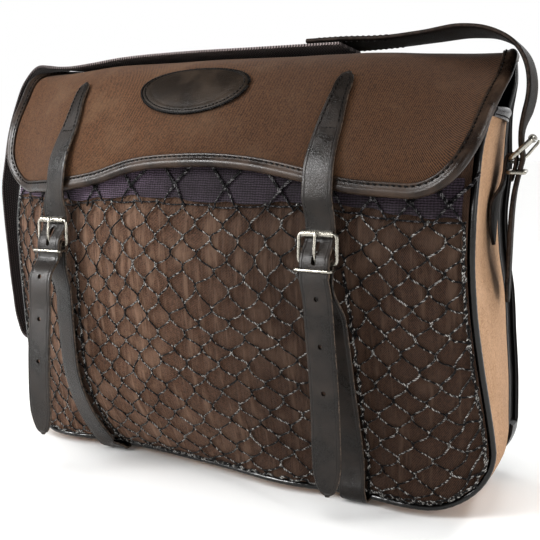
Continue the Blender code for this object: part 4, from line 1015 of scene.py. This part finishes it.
def netPlace(i, j):
    inset = shell["frontPiping"] + gap + 1.0
    base = float(halfWidthAt(0, "front")) - inset
    spread = smoothAt(i, *net["gather"]) * (base - 1)
    bottom = cornerHeight(spread, base, shell["frontCorner"] - inset, shell["frontLow"] + inset)
    top = bandHeight(spread) - 1.0
    height = bottom + (top - bottom) * j ** net["crowding"]
    return spread * (halfWidthAt(height, "front") - inset) / base, height


def netSurface(x, z, lift):
    onBand = ease((z - bandHeight(x) + 2) / 3)
    return frontAt(x, z, lift + (band["thickness"] + 0.3) * onBand)[0]


gathered = {"step": 1.4, "sway": 1.1, "lift": 0.6, "radius": 0.6, "starts": (0.0, 2.6)}


def gatheredCord(line, pick):  # two slack cords wound about a line along the net's edge
    measure = lengthAlong(line)
    at = np.arange(0, measure[-1], gathered["step"])
    x, z = (np.interp(at, measure, line[:, k]) for k in (0, 1))
    parts = []
    for turn in gathered["starts"]:
        sway = gathered["sway"] * np.sin(at / pick.uniform(1.6, 2.3) + turn)
        sway = sway * (0.7 + 0.5 * np.sin(at / 6.5 + turn))
        rise = gathered["sway"] * np.cos(at / pick.uniform(1.8, 2.6) + turn)
        wound = netSurface(x + sway, z + rise, net["lift"] + gathered["lift"])
        parts.append(tubePart(wound, gathered["radius"], 6, up=(0, 1, 0)))
    return parts


def makeNet():
    pick = random.Random(11)
    noise.seed_set(11)  # without it noise_vector starts from the clock
    columns, rows = net["columns"], net["rows"]
    knots = {}
    for i in range(columns + 1):
        for j in range(rows + 1):
            if (i + j) % 2:
                continue
            x, z = (float(each) for each in netPlace(i / columns, j / rows))
            inner = min(1.0, 5 * min(i, columns - i) / columns) * (0.35 if j in (0, rows) else 1.0)
            drift = noise.noise_vector(Vector((i / 6.0, j / 5.0, 3.0)))
            x += inner * (net["drift"] * drift[0] + pick.uniform(-1, 1) * net["jitter"])
            z += inner * (net["drift"] * drift[1] + pick.uniform(-1, 1) * net["jitter"])
            knots[i, j] = (x, max(z, shell["frontLow"] + net["offFloor"]))
    parts, border = [], []
    t = np.linspace(0, 1, net["steps"])
    for (i, j), start in knots.items():
        for a, b in ((1, 1), (1, -1)) + (((2, 0),) if j == rows else ()):
            end = knots.get((i + a, j + b))
            if end is None:
                continue
            sag = net["sag"] * pick.uniform(-0.2, 1.3)
            upright = pick.uniform(0.7, 1.8)  # how far the cord runs up and down at its knots
            kink = pick.uniform(-net["kink"], net["kink"]) * np.sin(3 * math.pi * t + pick.uniform(0, 6))
            kink = kink * np.sin(math.pi * t)
            x = start[0] + (end[0] - start[0]) * (t + upright * (ease(t) - t)) + kink
            z = start[1] + (end[1] - start[1]) * t - sag * np.sin(math.pi * t) + kink * b
            lift = net["lift"] + 0.5 * np.sin(math.pi * t) * pick.uniform(0, 1) + 0.25
            cord = tubePart(netSurface(x, z, lift), net["radius"] * pick.uniform(0.85, 1.15), 6, up=(0, 1, 0))
            (border if 0 in (a, b) else parts).append(cord)
        place = netSurface(np.array(start[0]), np.array(start[1]), np.array(net["lift"] + 0.4))
        parts.append(dotPart(place, net["knot"] * pick.uniform(0.85, 1.2), 0.85))
        for _ in range(2):  # the knot's two turns of cord
            nudge = np.array((pick.uniform(-0.8, 0.8), -0.3, pick.uniform(-0.8, 0.8)))
            parts.append(dotPart(place + nudge, net["knot"] * pick.uniform(0.55, 0.8), 0.8))
    share = np.linspace(0, 1, 60)
    edges = [netPlace(share * 0, share), netPlace(share * 0 + 1, share), netPlace(share, share * 0)]
    for column in (1, 2):  # where the net bunches against the lower straps' right edges
        height = np.linspace(*net["bunched"], 60)
        edges.append((readTable(lowerRows, height)[..., column - 1] + frontStrap["width"] / 2 + 1.0, height))
    for line in edges:
        parts += gatheredCord(np.stack(line, axis=1), pick)
    addPiece("netPocket", parts, netTwine, ["net"])
    addPiece("netLacing", makeLacing() + border, laceTwine)


makeNet()
print("net made")

# Straps: a middle line with widths, swept by a rectangle with round burnished edges

strapEdge = {"flatSteps": 10, "roundSteps": 5, "crown": 0.12}


def strapSection(widths, thickness):
    radius = thickness * 0.46
    flat = np.linspace(-1, 1, strapEdge["flatSteps"] + 1)
    turns = np.linspace(0, math.pi, strapEdge["roundSteps"] + 2)[1:-1]
    half = np.maximum(widths / 2 - radius, 0.4)[:, None]
    face = thickness / 2 - strapEdge["crown"] + strapEdge["crown"] * (1 - flat**4)
    bulge, rise = half + radius * np.sin(turns), np.cos(turns) * radius
    across = np.concatenate([half * flat, bulge, half * flat[::-1], -bulge], axis=1)
    return across, np.broadcast_to(np.concatenate([face, rise, -face, -rise]), across.shape)


def strapPart(path, widths, across, thickness):
    along = tangentsOf(path)
    across = unit(across - along * np.sum(along * across, axis=1, keepdims=True))
    out = np.cross(along, across)
    side, up = strapSection(widths, thickness)
    grid = path[:, None] + across[:, None] * side[..., None] + out[:, None] * up[..., None]
    ends = []
    for end, forward in ((0, -1), (-1, 1)):
        middle = path[end] + along[end] * forward * thickness * 0.3
        ends.append(middle + (grid[end] - path[end]) * (0.93, 0.93, 0.93))
    grid = np.concatenate([ends[0][None], grid, ends[1][None]])
    marks = np.zeros((grid.size // 3, 3))
    return (grid.reshape(-1, 3), tubeFaces(*grid.shape[:2]), marks), (path, across, out, widths)


def markStrap(piece, line):  # along, across and in from the nearest edge
    path, across, _, widths = line
    points = np.empty(len(piece.data.vertices) * 3)
    piece.data.vertices.foreach_get("co", points)
    points = points.reshape(-1, 3) / mm
    nearest = np.array([np.argmin(((path - point) ** 2).sum(axis=1)) for point in points])
    side = np.sum((points - path[nearest]) * across[nearest], axis=1)
    measure = lengthAlong(path)
    along = measure[nearest]
    fromEnd = np.minimum(along, measure[-1] - along) + 0.6
    edge = np.minimum(widths[nearest] / 2 - np.abs(side), fromEnd)
    setMarks(piece.data, np.stack([along, side, np.maximum(edge, 0)], axis=-1))


def cutHoles(piece, holes):
    if not holes:
        return
    parts = []
    for place, direction, length, width in holes:
        direction = unit(np.asarray(direction, float))
        side = unit(np.cross(direction, (0, 0, 1)))
        up = np.cross(side, direction)
        turn = np.linspace(0, 2 * math.pi, 24, endpoint=False) + 0.01
        lift = np.sin(turn) * width / 2 + np.sign(np.sin(turn)) * (length - width) / 2
        rim = side * (np.cos(turn) * width / 2)[:, None] + up * lift[:, None]
        ends = np.concatenate([np.asarray(place) + direction * d + rim for d in (-6.0, 6.0)])
        parts.append((ends, tubeFaces(2, 24), ends * 0))
    punch = addObject("punch", makeMesh("punch", parts))
    cut = piece.modifiers.new("holes", "BOOLEAN")
    cut.operation = "DIFFERENCE"
    cut.object = punch
    whole = piece.data
    graph = bpy.context.evaluated_depsgraph_get()
    piece.data = bpy.data.meshes.new_from_object(piece.evaluated_get(graph))
    piece.modifiers.clear()
    bpy.data.objects.remove(punch)
    bpy.data.meshes.remove(whole)
    shadeRound(piece.data)


def makeStrap(name, rows, thickness, material, replaced, holes=(), step=1.6):
    rows = np.array([(*point, width, *across) for point, width, across in rows], float)
    rows = smoothRows(rows, step)
    part, line = strapPart(rows[:, :3], rows[:, 3], rows[:, 4:7], thickness)
    piece = addPiece(name, [part], material, [replaced])
    cutHoles(piece, holes)
    markStrap(piece, line)
    return line


def edgeStitches(line, start, end, inset, lift, side, pitch=3.2, length=2.3, radius=0.36):
    path, across, out, widths = line
    measure = lengthAlong(path)
    pickRows = (measure >= start) & (measure <= end)
    shift = (widths / 2 - inset)[pickRows, None] * side
    seam = path[pickRows] + across[pickRows] * shift + out[pickRows] * lift
    return stitchParts(seam, out[pickRows] * np.sign(lift), pitch, length, radius)


# Front straps and buckles

tailRows = ((17, 123, 98), (60, 126, 99.5), (90, 125, 102), (120, 122, 106), (150, 119, 110))
sides = {"left": 0, "right": 1}


def buckleFrame(place, up, out):  # origin, across the strap, out of it, along it
    up, out = unit(np.asarray(up, float)), np.asarray(out, float)
    out = unit(out - up * (out @ up))
    return np.asarray(place, float), np.cross(out, up), out, up


def inBuckle(place, side, out, up):
    origin, acrossAxis, outAxis, upAxis = place
    return origin + acrossAxis * side + outAxis * out + upAxis * up


def roundedLoop(halfX, halfY, radius, steps=7):
    points = []
    for quarter, (sx, sy) in enumerate(((1, 1), (-1, 1), (-1, -1), (1, -1))):
        for turn in np.linspace(math.pi / 2 * quarter, math.pi / 2 * (quarter + 1), steps):
            x = sx * (halfX - radius) + radius * math.cos(turn)
            points.append((x, sy * (halfY - radius) + radius * math.sin(turn)))
    return points


def layerOffsets(size, thickness):
    wrap = size["wire"] + 0.3 + thickness / 2
    return wrap, wrap + thickness + 0.3, size["roller"] + 0.3 + thickness / 2


def addNickel(name, part, node, sharp=50):
    addPiece(name, [part], wornNickel, [node], sharp)


def makeBuckle(name, node, size, place):
    bar, wire, outer = size["frame"] / 2, size["wire"], size["roller"]
    loop = [inBuckle(place, x, 0, z) for x, z in roundedLoop(size["width"] / 2 + wire + 0.8, bar, 2.6)]
    addNickel("buckleFrame" + name, tubePart(loop, wire, 12, True, place[2]), "buckle_" + node)
    half, bore = size["width"] / 2 - 0.2, wire + 0.3
    profile = (
        (-half, bore), (-half, outer - 0.25), (0.3 - half, outer),
        (half - 0.3, outer), (half, outer - 0.25), (half, bore),
    )
    turn = np.linspace(0.35, 2 * math.pi + 0.05, 30)  # the rolled sheet leaves a fine seam
    points = np.array([
        inBuckle(place, x, r * math.cos(a), bar + r * math.sin(a)) for a in turn for x, r in profile
    ])
    roller = (points, tubeFaces(len(turn), len(profile)), points * 0)
    addNickel("buckleRoller" + name, roller, "roller_" + node, 35)
    start, rest = wire + gap + 1.15, outer + gap + 0.95
    pin = (  # out of the buckle, up it, thickness
        (-0.2 - wire * 1.6, -bar - 0.4, 0.75), (0.2, -bar - wire * 1.7, 0.85),
        (start * 0.8, -bar - wire * 0.7, 0.95), (start, 0.8 - bar, 1.0), (rest + 1.2, -bar * 0.25, 1.0),
        (rest + 0.7, bar * 0.55, 0.95), (rest, bar + 0.8, 0.8), (rest - 0.5, bar + 2.0, 0.6),
    )
    rows = smoothRows([(*inBuckle(place, 0, out, up), thick) for out, up, thick in pin], 0.7)
    addNickel("bucklePin" + name, tubePart(rows[:, :3], rows[:, 3], 10, up=place[1]), "prong_" + node)


def makeKeeper(name, node, size, place, front, back):
    thin = size["wire"] * 0.85
    depth, middle = (front - back) / 2 + gap + thin, (front + back) / 2
    outline = roundedLoop(size["width"] / 2 + thin + 0.4, depth, 1.6)
    loop = [inBuckle(place, x, middle + y, 0) for x, y in outline]
    addNickel("wireKeeper" + name, tubePart(loop, thin, 10, True, place[3]), "keeper_" + node)


def strapMiddle(rows, side, height):
    return float(readTable(rows, height)[sides[side]])


def frontBuckle(side, drop=0.0):
    height = frontStrap["buckleHeight"]
    x = strapMiddle(upperRows, side, height)
    layers = frontStrap["netOffset"] + frontStrap["netThickness"] + 2 * gap + 2 * frontStrap["leather"]
    room = layers + frontBuckleSize["wire"] + 1.2 + frontStrap["standsOff"][side]
    return buckleFrame((x, -float(forwardAt(x, height)) - room, height - drop), (0, 0, 1), (0, -1, 0))


def tailPoint(side, height):
    return np.array((strapMiddle(upperRows, side, height), -strapMiddle(tailRows, side, height), height))


tongueRows = (  # height, width, lift off the flap
    (278.6, 3.5, 0.7), (277.5, 7.5, 0.7), (275, 10, 0.7), (266, 12, 0.8), (256, 14.5, 0.9), (247, 16.5, 1.0),
    (236, 18, 1.7), (224, 19.5, 2.9), (213, 20, 3.4), (205, 20, 3.5),
)
tongue = {"sewnTo": 43, "inset": 2.4}
tipRows = ((22, 20), (15, 19.2), (10, 17), (5, 13.5), (2, 10), (0.5, 6.5), (0, 3.5))  # above the tip, width
towardsFront, towardsRight = (0, -1, 0), (1.0, 0.0, 0.0)


def makeFlapStrap(side):
    place, leather = frontBuckle(side), frontStrap["leather"]
    bar = frontBuckleSize["frame"] / 2
    _, over, behind = layerOffsets(frontBuckleSize, leather)
    rows = []
    for height, width, lift in tongueRows:
        x = strapMiddle(upperRows, side, height)
        row = flapRowAt(x, height)
        point = flapAt(x, row) + (lift + leather / 2) * flapNormals(x, row)
        rows.append((point, width, unit(flapSlopes(x, row)[0])))
    for up, out in (  # behind the roller, through the frame and over its lower bar
        (bar + 8, 1.0 - behind), (bar + 0.5, -behind), (bar - 3.5, 0.9 - behind), (0, 0.6),
        (3.5 - bar, over - 0.7), (-bar, over + 0.1), (-bar - 3.5, over), (-bar - 8, over),
    ):
        rows.append((inBuckle(place, 0, out, up), frontStrap["width"], towardsRight))
    tail = [(height, frontStrap["width"]) for height in (146, 120, 92, 66)]
    tail += [(frontStrap["tip"][side] + up, width) for up, width in tipRows]
    rows += [(tailPoint(side, height), width, towardsRight) for height, width in tail]
    holes = [(inBuckle(place, 0, 1.5, -2.6), towardsFront, 13.4, 3.2)]
    holes += [(tailPoint(side, height), towardsFront, 3.2, 3.2) for height in frontStrap["holes"]]
    line = makeStrap(
        "flapStrap" + side.title(), rows, leather, bridleLeather, "flap_strap_" + side, holes=holes)
    path, across, out, widths = line
    lift = leather / 2 * (1 if out[4][1] < 0 else -1)
    threads = []
    for edge in (-1, 1):
        threads += edgeStitches(line, 3, tongue["sewnTo"], tongue["inset"], lift, edge)
    end = int(np.searchsorted(lengthAlong(path), tongue["sewnTo"]))
    reach = np.linspace(-1, 1, 9)[:, None] * (widths[end] / 2 - tongue["inset"] - 0.2)
    seam = path[end] + across[end] * reach + out[end] * lift
    threads += stitchParts(seam, np.repeat(out[end][None] * np.sign(lift), 9, axis=0), 2.6, 2.0, 0.36)
    addStitches("flapStrapStitches" + side.title(), threads)


def makeLowerStrap(side):
    place, leather = frontBuckle(side), frontStrap["leather"]
    bar, width = frontBuckleSize["frame"] / 2, frontStrap["width"] - 1
    wrap, _, _ = layerOffsets(frontBuckleSize, leather)
    seat = frontStrap["netOffset"] + frontStrap["netThickness"] + 1.3 + leather / 2
    foot = strapMiddle(lowerRows, side, 2)
    seam = float(forwardAt(foot, shell["frontLow"]))
    rows = [
        ((foot, y - seam, z), across, towardsRight)
        for y, z, across in ((4.0, 1.9, width - 1), (-1.5, 2.0, width - 1), (-4.4, 4.0, width))
    ]
    for height in (9, 17, 28, 42, 57, 72, 87, 102, 116, 130):
        x = strapMiddle(lowerRows, side, height)
        ends = [frontAt(x + step, height)[0] for step in (-2.0, 2.0)]
        rows.append((frontAt(x, height, seat)[0], width, unit(ends[1] - ends[0])))
    diagonal = math.sqrt(0.5) * wrap
    for out, up in (  # up behind the buckle and round its lower bar
        (-wrap, -bar - 14), (-wrap, -bar - 6), (-wrap, -bar), (-diagonal, diagonal - bar),
        (0, wrap - bar), (diagonal, diagonal - bar), (wrap, -bar), (wrap, -bar - 8),
    ):
        rows.append((inBuckle(place, 0, out, up), width, towardsRight))
    holes = [(inBuckle(place, 0, wrap + 4.5, 1.4 - bar), towardsFront, 9.0, 3.2)]
    makeStrap("lowerStrap" + side.title(), rows, leather, bridleLeather, "lower_strap_" + side, holes=holes)


# Sling, its leather ends and the side fittings

sling = {
    "width": 38.0, "webbing": 2.2, "leather": 3.0, "y": -8.0, "bar": (190.5, 227.2), "tilt": 45.0,
    "keeper": (218.7, 197.4, 190.8), "tabWidth": 34.0, "axis": 190.0, "turn": {"left": 0.0, "right": 12.0},
    "slot": (197.0, 228.2, 12.0, 3.6), "hole": (191.4, 170.0, 3.6, 3.6), "tabSlot": (4.5, 0.5, 9.0, 3.4),
    "sewnTo": 60, "stitchInset": 3.5,
}
lap = sling["webbing"] / 2 + gap + sling["leather"] / 2
webbingRows = (  # place, and how far the rear edge leans to the bag, in degrees
    (-208.8, -11, 196, 0), (-207, -11, 150, 0), (-203, -11, 108, 0), (-200.6, -11, 84, 0),
    (-207, -11, 71.5, 0), (-217, -11, 73.5, 0), (-223.5, -11, 86, 0), (-228, -11, 111, 0),
    (-232, -11, 148, 0), (-234.8, -11, 180, 0), (-235.4, -11, 200, 0), (-231, -11, 222, 0),
    (-226, -11, 243, 0), (-216.5, -11, 267, 0), (-204.8, -11, 287, 0), (-189, -11, 298.4, 0),
    (-176, -11, 297.2, 0), (-160, -11, 296.4, 0), (-135, -11, 297.7, 1), (-110, -11, 299.6, 3),
    (-50, -11, 300.8, 6), (10, -11, 300.8, 6), (50, -11, 300.8, 6), (78, -11, 300.8, 6),
)
rightEndRows = (
    (54, -11, 300.8 + lap, 6), (80, -11, 300.8 + lap, 6), (108, -10, 304, 3), (136, -9, 306, 3),
    (160, -8, 308, 5), (180, -8, 304.5, 4), (194, -8, 295, 5), (200.6, -8, 281, 6),
    (201.4, -8, 267, 6), (198.4, -8, 253, 7), (196, -8, 247, 9),
)
leftEndRows = (
    (-208.8 - lap, -11, 172, 0), (-208.8 - lap, -11, 196, 0), (-214.3, -11, 225, 0),
    (-214.3, -11, 248, 0), (-209.5, -11, 260, 0), (-202, -10, 259, 0), (-197.7, -8, 250, 0),
)
sideTailRows = (  # distance from the middle, height, width, lean
    (195.9, 241, 38, 0), (196.2, 234.2, 38, 0), (197.3, 228.2, 38, 0), (196.3, 222.2, 38, 0),
    (194.7, 215.2, 38, 0), (193.2, 207, 38, 3), (192.0, 195, 38, 9), (191.5, 180, 38, 12),
    (191.2, 158, 38, 12), (191.1, 147, 35, 12), (191.1, 139, 24, 12), (191.1, 136, 14, 12),
)
leafRows = ((172, 6), (176, 14), (183, 24), (192, 31), (201, 33))
tabRows = ((185.4, 211.5), (186.7, 219.2))
tabEndRows = ((193.2, 223.2), (191.6, 217.2), (190.9, 213.7))


def leaning(path, lean):
    along = tangentsOf(path)
    rear = np.array((0.0, 1.0, 0.0))
    across = unit(rear - along * (along @ rear)[:, None])
    out = np.cross(along, across)
    turn = np.radians(lean)[:, None]
    return across * np.cos(turn) - out * np.sin(turn)


def leaningRows(rows, widths=None):
    across = leaning(rows[:, :3], rows[:, -1])
    widths = np.full(len(rows), sling["width"]) if widths is None else widths
    return [(row[:3], width, turn) for row, width, turn in zip(rows, widths, across)]


def outward(side):  # the way that a side's fittings face
    sign, turn = (-1 if side == "left" else 1), math.radians(sling["turn"][side])
    return np.array((sign * math.cos(turn), math.sin(turn), 0.0))


def beside(side, fromMiddle, height):
    axis = np.array((-sling["axis"] if side == "left" else sling["axis"], sling["y"], height))
    return axis + outward(side) * (fromMiddle - sling["axis"])


def sideBuckle(side):
    tilt, away, rise = math.radians(sling["tilt"]), outward(side), np.array((0.0, 0.0, 1.0))
    up = away * math.sin(tilt) + rise * math.cos(tilt)
    out = away * math.cos(tilt) - rise * math.sin(tilt)
    return buckleFrame(beside(side, *sling["bar"]) + up * sideBuckleSize["frame"] / 2, up, out)


def gussetSide(sign, y, height):
    front, back = halfWidthAt(height, "front"), halfWidthAt(height, "back")
    start = -forwardAt(sign * front, height) + shell["canvas"] / 2 + shell["frontPiping"] + gap
    end = shell["backSeam"] - shell["backPiping"] - gap
    depth = (y - start) / (end - start)
    return float(front + (back - front) * depth + gusset["outset"] + sideSwell(depth, height))


def makeSlingWebbing():
    rows = smoothRows(webbingRows, 4.0)
    makeStrap("slingWebbing", leaningRows(rows), sling["webbing"], slingWeave, "sling_webbing")


def makeSlingEnd(side):
    sign = -1 if side == "left" else 1
    loose = smoothRows(leftEndRows if side == "left" else rightEndRows, 9.0)[:-1]
    rows = [(*row[:3], sling["width"], row[3]) for row in loose]
    for x, height, width, lean in sideTailRows:
        rows.append((*beside(side, x, height), width, sign * max(lean, sling["turn"][side])))
    rows = np.array(rows)
    holes = [(beside(side, x, height), outward(side), length, width)
             for x, height, length, width in (sling["slot"], sling["hole"])]
    line = makeStrap("slingEnd" + side.title(), leaningRows(rows, rows[:, 3]), sling["leather"], slingLeather,
                     "sling_end_" + side, holes=holes)
    threads = []
    for edge in (-1, 1):
        for lift in (-sling["leather"] / 2, sling["leather"] / 2):
            threads += edgeStitches(
                line, 4, sling["sewnTo"], sling["stitchInset"], lift, edge, 4.0, 3.0, 0.42)
    addStitches("slingStitches" + side.title(), threads)


def makeSideChape(side):
    sign, d = (-1 if side == "left" else 1), 2.0
    leather = frontStrap["leather"]
    wrap, _, _ = layerOffsets(sideBuckleSize, leather)
    rows = []
    for height, width in leafRows:
        ahead, behind = (gussetSide(sign, sling["y"] + step, float(height)) for step in (-d, d))
        place = (ahead + behind) / 2 + gap + 0.8 + leather / 2
        level = unit(np.array((sign * (behind - ahead) / (2 * d), 1.0, 0.0)))
        rows.append(((sign * place, sling["y"], height), width, level))
    barX, barZ = sling["bar"]
    diagonal = math.sqrt(0.5) * wrap
    loop = [(barX - wrap, barZ), (barX - diagonal, barZ + diagonal), (barX, barZ + wrap),
            (barX + diagonal, barZ + diagonal), (barX + wrap, barZ)]
    rear = np.cross((0.0, 0.0, 1.0), sign * outward(side))
    for x, height in (*tabRows, *loop, *tabEndRows):
        rows.append((beside(side, x, height), sling["tabWidth"], rear))
    fromBar, drop, length, slotWidth = sling["tabSlot"]
    holes = [(beside(side, barX + fromBar, barZ - drop), outward(side), length, slotWidth)]
    makeStrap(
        "sideChape" + side.title(), rows, leather, slingLeather, "side_chape_" + side, holes=holes, step=1.2)


def makeFittings(side):  # both buckles of a side, its straps, its end of the sling and its chape
    title, leather = side.title(), frontStrap["leather"]
    wrap, over, _ = layerOffsets(frontBuckleSize, leather)
    makeBuckle("Front" + title, "front_" + side, frontBuckleSize, frontBuckle(side))
    below = frontBuckle(side, frontStrap["keeperDrop"])
    ahead, behind = over + leather / 2, wrap - leather / 2
    makeKeeper("Front" + title, "front_" + side, frontBuckleSize, below, ahead, behind)
    makeFlapStrap(side)
    makeLowerStrap(side)
    makeBuckle("Side" + title, "side_" + side, sideBuckleSize, sideBuckle(side))
    height, ahead, behind = sling["keeper"]
    upright = buckleFrame(beside(side, 0.0, height), (0, 0, 1), outward(side))
    makeKeeper("Side" + title, "side_" + side, sideBuckleSize, upright, ahead, behind)
    makeSlingEnd(side)
    makeSideChape(side)


makeSlingWebbing()
for side in sides:
    makeFittings(side)
print("straps, buckles and sling made")

# Floor and light

studio = {
    "reach": 12.0, "drop": 0.0005, "floor": "#fafaf9", "floorCloud": "#f8f8f7",
    "horizon": 1.0, "sky": 0.16, "dims": (0.16, 0.5),  # between these heights on the sky's ball
    "overhead": 2.6, "overheadWidth": 50.0, "overheadPlace": (-0.35, -0.3, 1.6),
    "lights": (  # name, place, width, height, power, what it points at, whether it lights cloth
        ("keyLight", (-0.75, -1.0, 0.72), 0.5, 0.5, 10.0, (-0.08, -0.05, 0.16), True),
        ("glossLight", (-0.8, -1.15, 0.8), 0.7, 0.5, 50.0, (-0.03, -0.05, 0.14), False),
        ("lowGlossLight", (-1.07, -1.13, 0.12), 0.3, 0.5, 5.0, (-0.1, -0.1, 0.12), False),
        ("edgeLight", (0.5, 0.8, 0.8), 0.25, 0.25, 6.0, (0.1, 0.0, 0.22), True),
        ("sideLight", (1.1, -0.45, 0.45), 0.1, 0.6, 3.6, (0.18, 0.0, 0.15), True),
    ),
}


def makeFloor():  # pale painted board, matt and even
    reach, down = studio["reach"], -studio["drop"]
    mesh = bpy.data.meshes.new("floor")
    corners = [(-reach, -reach, down), (reach, -reach, down), (reach, reach, down), (-reach, reach, down)]
    mesh.from_pydata(corners, [], [(0, 1, 2, 3)])
    material, tree, shader = startMaterial("palePaintedFloor", Roughness=0.9, Specular_IOR_Level=0.1)
    grain = addNode(tree, "TexNoise", {"Vector": addNode(tree, "TexCoord", out="Object"), "Scale": 4.0})
    layColours(tree, shader, studio["floor"], ((grain, (), studio["floorCloud"]),))
    mesh.materials.append(material)
    addObject("floor", mesh)


def makeSky():  # white at the horizon, dimmer above
    world = bpy.data.worlds.new("studio")
    bpy.context.scene.world = world
    world.use_nodes = True
    tree = world.node_tree
    rise = addNode(tree, "SeparateXYZ", (addNode(tree, "TexCoord", out="Generated"),), out=2)
    level = addNode(tree, "MapRange", (rise, *studio["dims"], studio["horizon"], studio["sky"]), **soft)
    tree.links.new(level, tree.nodes["Background"].inputs["Strength"])
    tree.nodes["Background"].inputs["Color"].default_value = (1, 1, 1, 1)


def addLight(light, place, target):
    lamp = addObject(light.name, light)
    lamp.location = place
    away = lamp.location - Vector(target)
    lamp.rotation_euler = away.to_track_quat("Z", "Y").to_euler()
    return lamp


def makeLights():
    sun = bpy.data.lights.new("overheadLight", "SUN")
    sun.energy = studio["overhead"]
    sun.angle = math.radians(studio["overheadWidth"])
    # A broad ceiling that lights the cloth and leaves no glare on the leather
    addLight(sun, studio["overheadPlace"], (0, 0, 0)).visible_glossy = False
    for name, place, width, height, power, target, onCloth in studio["lights"]:
        light = bpy.data.lights.new(name, "AREA")
        light.shape = "RECTANGLE"
        light.size = width
        light.size_y = height
        light.energy = power
        addLight(light, place, target).visible_diffuse = onCloth


makeFloor()
makeSky()
makeLights()
bpy.context.scene.view_settings.view_transform = "Standard"
print("floor and lights made")
